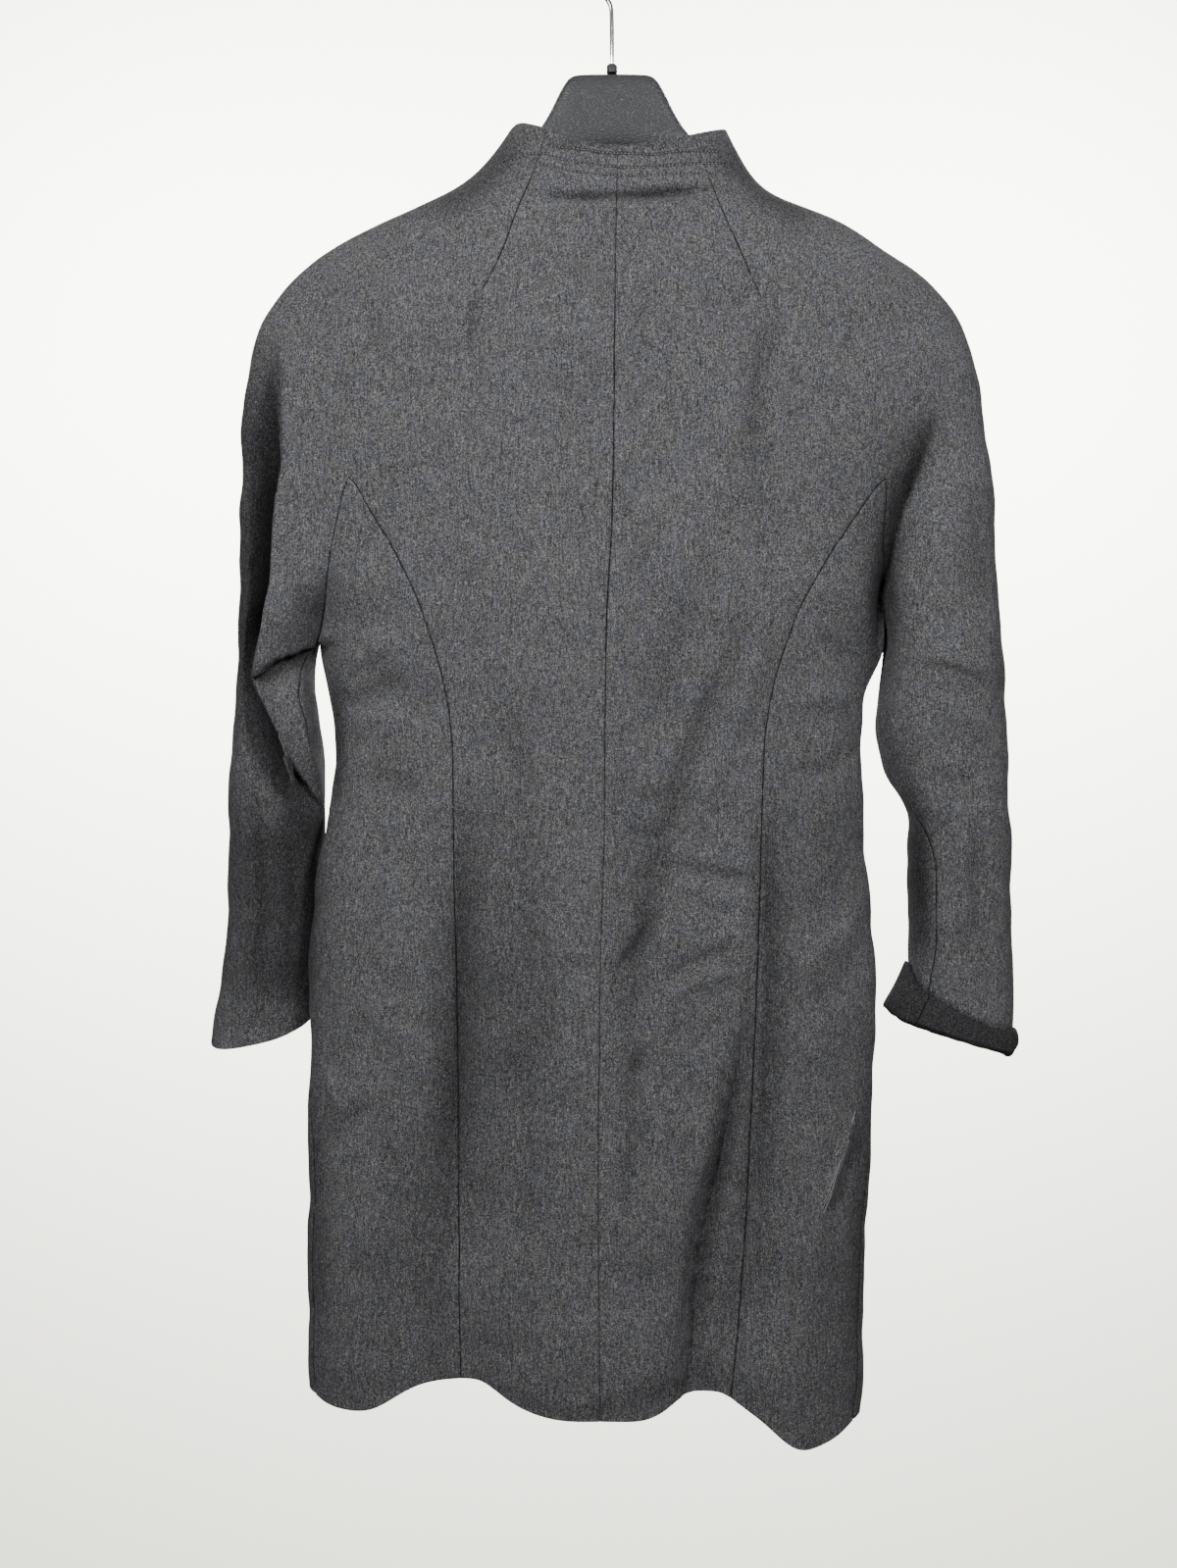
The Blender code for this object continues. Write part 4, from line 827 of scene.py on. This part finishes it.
def painted_shade_amount(points, normals):
    """How much painted shade darkens the cloth at each point: in the troughs of the back's creases, along the
    strokes and under the overhanging folds.
    """
    back = np.clip((0.5 - normals[:, 1]) / 0.4, 0, 1)
    dark = np.zeros(len(points))
    x, z = points[:, 0], points[:, 2]
    # Painted shade in the troughs of the back's creases.
    for depth, width, path in BACK_FOLDS:
        if depth > 0:
            dark = 1 - (1 - dark) * (1 - min(0.32, 0.12 * depth) * near_path(x, z, path, width) * back)
    # Painted shade along the strokes.
    for amount, width, path in PAINTED_SHADE_STROKES:
        dark = 1 - (1 - dark) * (1 - amount * near_path(x, z, path, width) * back)
    # Painted shade under the overhanging folds, on their fallen side.
    for _, _, _, _, shadow, breadth, path in LEDGES:
        gap, side, ends = beside_path(x, z, path)
        under = np.exp(-(gap / (breadth * MM)) ** 1.4) * np.clip(0.5 - side * gap / (2 * MM), 0, 1)
        dark = 1 - (1 - dark) * (1 - shadow * under * ends * back)
    return dark


def row_heights(x, points, front):
    """Heights of the three rows of stitching at x, in millimetres, from the lowest row up."""
    if not front:
        table = np.array(NECK_ROWS, dtype=float)
        return np.array([np.interp(x, table[:, 0], table[:, k]) for k in (3, 2, 1)])
    ahead = points[(points[:, 1] > 0.02) & (points[:, 2] > -0.26)] / MM
    edge = [ahead[np.abs(ahead[:, 0] - at) < 5, 2].max() for at in NECK_STOPS]
    top = np.interp(x, NECK_STOPS, edge)
    return np.array([top - drop for drop in FRONT_ROWS[::-1]])


def row_number(points, on_front):
    """Which row of stitching each point lies on, as a number between the rows, and
    how strongly that row is sewn there."""
    number = np.full(len(points), NO_ROW)
    sewn = np.zeros(len(points))
    for front in (False, True):
        own = (on_front > 0.5) == front
        own &= (points[:, 2] > -0.24) & (np.abs(points[:, 0]) < 0.1)
        x, z = points[own, 0] / MM, points[own, 2] / MM
        low, middle, high = row_heights(x, points, front)
        rows = np.where(z < middle, 2 + (middle - z) / (middle - low), 2 - (z - middle) / (high - middle))
        starts, ends = np.array(ROW_ENDS, dtype=float)[3 - np.clip(np.round(rows), 1, 3).astype(int)].T
        number[own] = rows
        sewn[own] = 1.0 if front else np.clip(np.minimum(x - starts, ends - x) / 4 + 0.5, 0, 1)
    return number, sewn


def seam_gap(points, seams, darts):
    """Millimetres from each point to the nearest seam or dart, up to 8, more where a dart runs out."""
    fade = 1 - np.clip((points[darts][:, :, 2].mean(axis=1) - DART_END_Z) / 0.04, 0, 1)
    lines = ((points[seams], np.zeros(len(seams))), (points[darts], fade * 0.8))
    spots = np.concatenate([ends[:, 0] * (1 - t) + ends[:, 1] * t for ends, _ in lines for t in (0, 0.5, 1)])
    extra = np.concatenate([more for _, more in lines for _ in range(3)])
    extra += 0.42 * np.clip((spots[:, 2] + 0.205) / 0.02, 0, 1)
    faint = np.clip((-0.56 - spots[:, 2]) / 0.12, 0, 1) + 0.7 * np.clip((spots[:, 2] + 0.32) / 0.06, 0, 1)
    extra += 0.4 * faint * (np.abs(spots[:, 0]) < 0.04) * (spots[:, 1] < 0)
    tree = KDTree(len(spots))
    for number, spot in enumerate(spots):
        tree.insert(spot, number)
    tree.balance()
    gap = np.empty(len(points))
    for number, point in enumerate(points):
        _, spot, distance = tree.find(point)
        gap[number] = min(8.0, distance / MM + extra[spot])
    return gap


def strip_along_border(shape, layers, lean, depth):
    """A thin strip of faces along the border, whose outer edge sinks where the cloth is sewn: both
    panels' edges go the same way there, so that they stay closed."""
    seam = layers["seam"]
    shape.normal_update()
    edges = [edge for edge in shape.edges if edge.is_boundary]
    inward = {}
    for edge in edges:
        face = edge.link_faces[0]
        along = (edge.verts[1].co - edge.verts[0].co).normalized()
        across = face.normal.cross(along)
        if across.dot(face.calc_center_median() - edge.verts[0].co) < 0:
            across = -across
        for vert in edge.verts:
            inward.setdefault(vert, []).append(across)
    outer, shift = {}, {}
    for vert, sides in inward.items():
        inside = sum(sides, Vector())
        size = min(STRIP, 0.4 * min(edge.calc_length() for edge in vert.link_edges))
        sharp = inside.length / len(sides) < 0.85
        shift[vert] = inside.normalized() * size * (0.5 if sharp else 1.0)
        twin = shape.verts.new(vert.co)
        twin[lean] = vert[lean]
        for layer in layers.values():
            twin[layer] = vert[layer]
        outer[vert] = twin
    for edge in edges:
        face = edge.link_faces[0]
        loop = next(loop for loop in face.loops if loop.edge == edge)
        first, second = loop.vert, loop.link_loop_next.vert
        shape.faces.new((first, outer[first], outer[second], second)).smooth = True
    for vert, step in shift.items():
        vert.co += step
        vert[seam] += step.length / MM
    for vert in shape.verts:
        vert.co -= vert[lean] * depth * math.exp(-(vert[seam] / 1.1) ** 2)
    shape.normal_update()


def thicken(shape, seam):
    """Give a sheet its thickness: a copy one cloth inside it, and a rim along the border."""
    border = []
    for edge in shape.edges:
        if edge.is_boundary:
            loop = edge.link_loops[0]
            border.append((loop.vert, loop.link_loop_next.vert))
    faces = [face.verts[:] for face in shape.faces]
    inner = {}
    for vert in shape.verts[:]:
        twin = shape.verts.new(vert.co - vert.normal * CLOTH)
        twin[seam] = vert[seam]
        inner[vert] = twin
    for verts in faces:
        shape.faces.new([inner[vert] for vert in reversed(verts)])
    for first, second in border:
        shape.faces.new((second, first, inner[first], inner[second]))


def panel_object(name, points, normals, faces, marks, split_edges, depth, material):
    """One panel: its border sunk a little at the seams, a thin strip along it, and its thickness."""
    used = np.unique(faces)
    number = np.full(len(points), -1)
    number[used] = np.arange(len(used))
    shape = bmesh.new()
    layers = {key: shape.verts.layers.float.new(key) for key in marks}
    lean = shape.verts.layers.float_vector.new("lean")
    verts = []
    for i in used:
        vert = shape.verts.new(points[i])
        vert[lean] = Vector(normals[i])
        for key, layer in layers.items():
            vert[layer] = marks[key][i]
        verts.append(vert)
    for face in number[faces]:
        shape.faces.new([verts[k] for k in face])
    if len(split_edges):
        cut = []
        for a, b in number[split_edges]:
            edge = shape.edges.get((verts[a], verts[b])) if a >= 0 and b >= 0 else None
            if edge is not None:
                cut.append(edge)
        bmesh.ops.split_edges(shape, edges=cut)
    strip_along_border(shape, layers, lean, depth)
    shape.verts.layers.float_vector.remove(lean)
    thicken(shape, shape.verts.layers.float["seam"])
    return built(name, shape, material)


def carry(piece, slot, *nodes):
    """Hang a piece on the one body, in the place of the solids it stands for."""
    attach(piece, "root")
    if nodes:
        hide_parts(*nodes)


# ---------------------------------------------------------------- operators

class COATDRESS_OT_panels(bpy.types.Operator):
    """Make the six sewn panels of the coat dress"""
    bl_idname = "coat_dress.panels"
    bl_label = "Panels"

    def execute(self, context):
        settings = context.scene.coat_dress_wool
        wool = wool_finish("wool_melange", settings)
        points, faces, panels, chain = rounded(joined_garment(), settings.rounding)
        on_front = on_fronts(points, faces, panels)
        points = creased(points, faces, on_front, settings.crease)
        normals = point_normals(points, faces)
        seams = seam_edges(faces, panels)
        darts = dart_edges(points, faces, chain)
        rows, sewn = row_number(points, on_front)
        # The points also carry how much painted shade darkens them.
        marks = {"seam": seam_gap(points, seams, darts), "painted_shade": painted_shade_amount(points, normals),
                 "row": rows, "sewn": sewn}
        self.stitches(points, faces, settings)
        for number, name in enumerate(NAMES):
            own = darts if name.startswith("back_") else darts[:0]
            panel = panel_object("wool_" + name, points, normals, faces[panels == number], marks, own,
                                 settings.seam_depth, wool)
            carry(panel, "wool", name)
        return {"FINISHED"}

    def stitches(self, points, faces, settings):
        """Short stitches of dark grey thread along the rows at the neck."""
        surface = BVHTree.FromPolygons(points.tolist(), faces.tolist())
        shape = bmesh.new()
        for front in (False, True):
            for row in range(3):
                low, high = FRONT_ROW_ENDS if front else ROW_ENDS[row]
                x = low + row
                while x < high:
                    spots = []
                    for at in (x, x + STITCH_LENGTH):
                        height = row_heights(np.array([float(at)]), points, front)[row, 0]
                        start = Vector((at * MM, 0.3 if front else -0.3, height * MM))
                        spot, normal, _, _ = surface.ray_cast(start, Vector((0, -1 if front else 1, 0)))
                        if spot is not None and abs(spot.y) < 0.08:
                            spots.append((spot, normal))
                    if len(spots) == 2:
                        self.stitch(shape, spots)
                    x += STITCH_STEP + 0.25 * math.sin(x * 1.7 + row)
        thread = thread_finish("stitch_thread", [2.6 * part for part in settings.colour])
        carry(built("neck_stitches", shape, thread), "wool")

    def stitch(self, shape, spots):
        """One stitch: a short spindle of thread from one spot on the cloth to another."""
        (first, normal), (second, _) = spots
        along = (second - first).normalized()
        if normal.y * first.y < 0:
            normal = -normal
        across = along.cross(normal).normalized()
        rings = []
        for t, size, rise in ((0.0, 0.35, -0.2), (0.2, 0.8, 0.1), (0.5, 1.0, 0.2), (0.8, 0.8, 0.1),
                              (1.0, 0.35, -0.2)):
            middle = first.lerp(second, t) + normal * rise * MM
            rings.append([shape.verts.new(middle + (across * math.cos(turn) + normal * math.sin(turn))
                                          * STITCH_RADIUS * MM * size)
                          for turn in (math.radians(60 * k) for k in range(6))])
        tube(shape, rings)
        shape.faces.new(rings[0][::-1])
        shape.faces.new(rings[-1])


def turned_in(points, normals):
    """The cuff's points with its cloth turned in along the lower edge, where it folds into the sleeve."""
    low, high = points[:, 0].min() + 0.012, points[:, 0].max() - 0.012
    depth = (points[:, 1].min() + points[:, 1].max()) / 2
    line = np.column_stack((np.clip(points[:, 0], low, high), np.full(len(points), depth), points[:, 2]))
    inside = np.clip(np.sum(normals * (line - points), axis=1)
                     / np.maximum(1e-6, np.linalg.norm(line - points, axis=1)) * 1.5, 0, 1)
    stops = np.arange(points[:, 0].min(), points[:, 0].max() + 0.004, 0.004)
    edge = [points[np.abs(points[:, 0] - stop) < 0.004, 2].min() for stop in stops]
    near_edge = np.clip(1 - (points[:, 2] - np.interp(points[:, 0], stops, edge)) / TURN_HEIGHT, 0, 1)
    return points + normals * (inside * near_edge ** 2 * TURN_DEPTH)[:, None]


class COATDRESS_OT_cuff(bpy.types.Operator):
    """Make the turned-back cuff of the right sleeve"""
    bl_idname = "coat_dress.cuff"
    bl_label = "Turned cuff"

    def execute(self, context):
        settings = context.scene.coat_dress_wool
        wool = wool_finish("wool_cuff", settings)
        piece = refined_solid("wool_turned_cuff", "turned_cuff_right", wool, 3, 0.2)
        vertices = piece.data.vertices
        points = turned_in(values(vertices, "co", 3), values(vertices, "normal", 3))
        vertices.foreach_set("co", points.ravel())
        piece.data.update()
        start, end = np.array(CUFF_SEAM, dtype=float) * MM
        step = (end - start) / np.hypot(*(end - start))
        off = ((points[:, 0] - start[0]) * step[1] - (points[:, 2] - start[1]) * step[0]) / MM
        off = np.where(points[:, 1] < -0.005, off, 8.0)
        # Painted shade darkens the whole cuff.
        marks = {"seam": off, "painted_shade": np.full(len(points), 0.7), "row": np.full(len(points), NO_ROW),
                 "sewn": np.zeros(len(points))}
        for key, numbers in marks.items():
            piece.data.attributes.new(key, "FLOAT", "POINT").data.foreach_set("value", numbers)
        carry(piece, "wool", "turned_cuff_right")
        return {"FINISHED"}


def refined_solid(name, node, material, levels, firmness=0.0, fitted=True):
    """A solid's own mesh in four-sided faces, divided and smoothed; firmness keeps its edges crisper."""
    shape = welded(node)
    drop_diagonals(shape)
    crease = shape.edges.layers.float.new("crease_edge")
    for edge in shape.edges:
        if len(edge.link_faces) == 2 and edge.calc_face_angle() > math.radians(35):
            edge[crease] = firmness
    mesh = bpy.data.meshes.new(name)
    shape.to_mesh(mesh)
    shape.free()
    rough = linked(name + "_rough", mesh)
    done = bpy.data.meshes.new_from_object(divided(rough, levels, fitted))
    bpy.data.objects.remove(rough)
    done.materials.clear()
    done.materials.append(material)
    done.shade_smooth()
    return linked(name, done)


class COATDRESS_OT_lint(bpy.types.Operator):
    """Lay a few stray light hairs on the cloth, and light strands along crease ridges as painted highlights
    """
    bl_idname = "coat_dress.lint"
    bl_label = "Lint"

    def execute(self, context):
        panels = [item for item in context.scene.objects
                  if item.name.startswith("wool_") and "cuff" not in item.name]
        if not panels:
            self.report({"ERROR"}, "Make the panels first")
            return {"CANCELLED"}
        trees = [BVHTree.FromObject(panel, context.evaluated_depsgraph_get()) for panel in panels]
        chance = np.random.default_rng(11)
        shape = bmesh.new()
        # Painted highlights: light strands along the crease ridges where they catch the light.
        for path, radius in CREASE_HIGHLIGHTS:
            for k in range(3):
                self.hair(shape, trees, [(x + chance.normal(0, 0.5), z + k * 4) for x, z in path], radius, -1)
        for _ in range(LINT_HAIRS):
            x, z = chance.uniform(-200, 190), chance.uniform(-1080, -230)
            side = -1 if chance.random() < 0.6 else 1
            turn, bend = chance.uniform(0, 2 * math.pi), chance.normal(0, 0.35)
            path = [(x, z)]
            for _ in range(int(chance.integers(3, 9))):
                turn += bend + chance.normal(0, 0.15)
                path.append((path[-1][0] + 1.4 * math.cos(turn), path[-1][1] + 1.4 * math.sin(turn)))
            self.hair(shape, trees, path, 0.09, side)
        fibre = thread_finish("lint_fibre", (0.30, 0.30, 0.30))
        carry(built("lint", shape, fibre, smooth=False), "wool")
        return {"FINISHED"}

    def hair(self, shape, trees, path, radius, side):
        """A fine three-sided strand laid on the cloth along points given in millimetres."""
        rings = []
        for x, z in path:
            start = Vector((x * MM, 0.3 * side, z * MM))
            hits = [tree.ray_cast(start, Vector((0, -side, 0))) for tree in trees]
            hits = [hit for hit in hits if hit[0] is not None]
            if not hits:
                break
            spot, normal, _, _ = min(hits, key=lambda hit: hit[3])
            middle = spot + normal * radius * 0.4 * MM
            ways = (Vector((math.cos(t), side * 0.4, math.sin(t))) for t in (0.3, 2.4, 4.5))
            rings.append([shape.verts.new(middle + way * radius * MM) for way in ways])
        tube(shape, rings)


class COATDRESS_OT_hanger(bpy.types.Operator):
    """Make the moulded hanger, its boss and its hook"""
    bl_idname = "coat_dress.hanger"
    bl_label = "Hanger"

    def execute(self, context):
        settings = context.scene.coat_dress_hanger
        plastic = hanger_finish(settings)
        chrome = chrome_finish(settings)
        carry(refined_solid("moulded_hanger", "hanger", plastic, 3, 0.1, fitted=False), "hanger", "hanger")
        carry(refined_solid("boss", "hanger_boss", plastic, 3, 0.6, fitted=False), "hanger", "hanger_boss")
        carry(refined_solid("wire_hook", "hanger_hook", chrome, 2, fitted=False), "hook", "hanger_hook")
        return {"FINISHED"}


class COATDRESS_OT_buttons(bpy.types.Operator):
    """Make the front buttons, dished and sewn on through four holes"""
    bl_idname = "coat_dress.buttons"
    bl_label = "Buttons"

    def execute(self, context):
        horn = button_finish(context.scene.coat_dress_hanger)
        thread = thread_finish("button_thread", (0.05, 0.05, 0.052))
        for node in sorted(frame["nodes"]):
            if node.startswith("button_"):
                item = frame["nodes"][node]
                spots = np.array([item.matrix_world @ vert.co for vert in item.data.vertices])
                middle = (spots.max(axis=0) + spots.min(axis=0)) / 2
                turned = np.linalg.svd(spots - middle)[2]
                axis = Vector(turned[2] * np.sign(turned[2][1]))
                across = Vector((1, 0, 0)) - axis * axis.x
                across.normalize()
                axes = (across, axis.cross(across), axis)
                off = (spots - middle) @ np.array(axes).T
                radius, half = np.hypot(off[:, 0], off[:, 1]).max(), np.abs(off[:, 2]).max()
                carry(self.disc("horn_" + node, horn, Vector(middle), axes, radius, half), "button", node)
                carry(self.thread("thread_" + node, thread, Vector(middle), axes, radius, half), "button")
        return {"FINISHED"}

    def placed(self, name, shape, material, middle, axes):
        """The finished mesh stood on its place, from its own flat axes."""
        for vert in shape.verts:
            vert.co = middle + axes[0] * vert.co.x + axes[1] * vert.co.y + axes[2] * vert.co.z
        bmesh.ops.recalc_face_normals(shape, faces=shape.faces)
        return built(name, shape, material)

    def disc(self, name, material, middle, axes, radius, half):
        """A dished disc with four holes, whose walls end open just above its back."""
        shape = bmesh.new()

        def ring(r, h, x=0.0, y=0.0, count=40):
            return [shape.verts.new((x + r * math.cos(2 * math.pi * k / count),
                                     y + r * math.sin(2 * math.pi * k / count), h)) for k in range(count)]

        rings = [ring(r * radius, h * half) for r, h in
                 ((0.54, 0.2), (0.58, 0.24), (0.63, 0.5), (0.70, 0.84), (0.78, 0.98), (0.86, 0.96),
                  (0.93, 0.76), (0.98, 0.4), (1.0, 0.0), (0.97, -0.5), (0.9, -0.85), (0.8, -1.0))]
        tube(shape, rings, -1)
        shape.faces.new(rings[-1])
        holes = []
        for turn in (45, 135, 225, 315):
            x, y = (0.2 * radius * part(math.radians(turn)) for part in (math.cos, math.sin))
            holes.append(ring(0.085 * radius, 0.2 * half, x, y, 12))
            lip = ring(0.07 * radius, 0.1 * half, x, y, 12)
            floor = ring(0.07 * radius, -0.98 * half, x, y, 12)
            tube(shape, (lip, holes[-1]), -1)
            tube(shape, (floor, lip), -1)
        loops = [rings[0]] + holes
        flat = [vert for loop in loops for vert in loop]
        for corners in tessellate_polygon([[vert.co.copy() for vert in loop] for loop in loops]):
            shape.faces.new([flat[k] for k in corners])
        return self.placed(name, shape, material, middle, axes)

    def thread(self, name, material, middle, axes, radius, half):
        """Two bars of thread, each over a pair of holes."""
        shape = bmesh.new()
        reach, girth = 0.145 * radius, 0.045 * radius
        for side in (-1, 1):
            for strand in (-0.6, 0.6):
                rings = []
                for t in (-1.0, -0.92, -0.6, 0.0, 0.6, 0.92, 1.0):
                    height = half * (0.2 + (0.42 if abs(t) < 0.7 else 0.2 if abs(t) < 0.95 else -0.5))
                    place = Vector((t * reach, side * reach + strand * girth, height))
                    ways = (Vector((0, math.cos(turn), math.sin(turn)))
                            for turn in (math.radians(60 * k) for k in range(6)))
                    rings.append([shape.verts.new(place + way * girth * 0.8) for way in ways])
                tube(shape, rings, -1)
        return self.placed(name, shape, material, middle, axes)


class COATDRESS_OT_stage(bpy.types.Operator):
    """Set the floor, backdrop, lights and camera"""
    bl_idname = "coat_dress.stage"
    bl_label = "Stage"

    def execute(self, context):
        settings = context.scene.coat_dress_stage
        scene = context.scene
        floor_z = CAD_BOX[0][2] - settings.floor_drop
        self.backdrop(floor_z)
        key, front, wall = settings.key_power, settings.front_power, settings.wall_power
        for light in (
                # name, place, target, size, power, spread in degrees
                ("key_light_left", (-0.99, -1.66, 0.35), (0.0, 0.0, -0.55), 0.5, key, 103),
                ("key_light_right", (0.99, -1.66, 0.35), (0.0, 0.0, -0.55), 0.5, key * 0.84, 103),
                ("front_light_left", (-0.8, 1.6, 0.6), (0.0, 0.0, -0.5), 0.9, front * 0.7, 180),
                ("front_light_right", (0.8, 1.6, 0.6), (0.0, 0.0, -0.5), 0.9, front * 1.4, 180),
                ("wall_light_left", (-1.3, 1.3, 0.7), (-0.91, 3.4, -0.1), 1.2, wall, 180),
                ("wall_light_right", (1.3, 1.3, 0.7), (0.91, 3.4, -0.1), 1.2, wall, 180)):
            self.area_light(*light)
        world = bpy.data.worlds.new("studio")
        world.use_nodes = True
        tree = world.node_tree
        seen = Signal(tree, tree.nodes.new("ShaderNodeLightPath").outputs["Is Camera Ray"])
        sky = tree.nodes["Background"]
        sky.inputs["Color"].default_value = (0.95, 0.95, 0.93, 1.0)
        connect(tree, sky.inputs["Strength"], seen * (settings.sky - settings.ambient) + settings.ambient)
        scene.world = world
        camera_data = bpy.data.cameras.new("camera")
        camera_data.sensor_width = SENSOR
        camera_data.lens = SENSOR * -CAMERA[1] / VIEW_HEIGHT
        scene.camera = linked("camera", camera_data)
        scene.camera.location = CAMERA
        scene.camera.rotation_euler = (math.radians(90), 0.0, 0.0)
        return {"FINISHED"}

    def backdrop(self, floor_z):
        """Pale floor that sweeps up into a wall far behind."""
        far, radius, height, half = 3.4, 0.6, 7.0, 5.0
        profile = [(-6.0, 0.0), (far - radius, 0.0)]
        for step in range(1, 17):
            turn = math.radians(90 * step / 16)
            profile.append((far - radius + radius * math.sin(turn), radius - radius * math.cos(turn)))
        profile.append((far, height))
        points = [(x, y, floor_z + z) for x in (-half, half) for y, z in profile]
        count = len(profile)
        faces = [(k, k + count, k + count + 1, k + 1) for k in range(count - 1)]
        mesh = bpy.data.meshes.new("backdrop")
        mesh.from_pydata(points, [], faces)
        mesh.shade_smooth()
        mesh.materials.append(stage_finish("backdrop_paint", (0.86, 0.858, 0.76)))
        backdrop = linked("backdrop", mesh)
        backdrop.visible_diffuse = False
        backdrop.visible_glossy = False

    def area_light(self, name, place, target, size, power, spread):
        """A square light that faces its target and is hidden from the camera."""
        light = bpy.data.lights.new(name, "AREA")
        light.shape = "SQUARE"
        light.size = size
        light.energy = power
        light.spread = math.radians(spread)
        lamp = linked(name, light)
        lamp.location = place
        lamp.visible_camera = False
        lamp.rotation_euler = (Vector(target) - Vector(place)).to_track_quat("-Z", "Y").to_euler()


class COATDRESS_PT_sidebar(bpy.types.Panel):
    """The coat dress's settings and steps"""
    bl_idname = "COATDRESS_PT_sidebar"
    bl_label = "Coat Dress"
    bl_space_type = "VIEW_3D"
    bl_region_type = "UI"
    bl_category = "Coat Dress"

    def draw(self, context):
        for group in ("coat_dress_wool", "coat_dress_hanger", "coat_dress_stage"):
            box = self.layout.box()
            settings = getattr(context.scene, group)
            for name in settings.__annotations__:
                box.prop(settings, name)
        for operator in OPERATORS:
            self.layout.operator(operator.bl_idname)


OPERATORS = (COATDRESS_OT_panels, COATDRESS_OT_cuff, COATDRESS_OT_lint, COATDRESS_OT_hanger,
             COATDRESS_OT_buttons, COATDRESS_OT_stage)
GROUPS = {"coat_dress_wool": WoolSettings, "coat_dress_hanger": HangerSettings,
          "coat_dress_stage": StageSettings}
CLASSES = tuple(GROUPS.values()) + OPERATORS + (COATDRESS_PT_sidebar,)


def register():
    for item in CLASSES:
        bpy.utils.register_class(item)
    for name, group in GROUPS.items():
        setattr(bpy.types.Scene, name, PointerProperty(type=group))


def unregister():
    for name in GROUPS:
        delattr(bpy.types.Scene, name)
    for item in reversed(CLASSES):
        bpy.utils.unregister_class(item)


def main():
    register()
    bpy.ops.coat_dress.panels()
    bpy.ops.coat_dress.cuff()
    bpy.ops.coat_dress.lint()
    bpy.ops.coat_dress.hanger()
    bpy.ops.coat_dress.buttons()
    bpy.ops.coat_dress.stage()


if __name__ == "__main__":
    main()
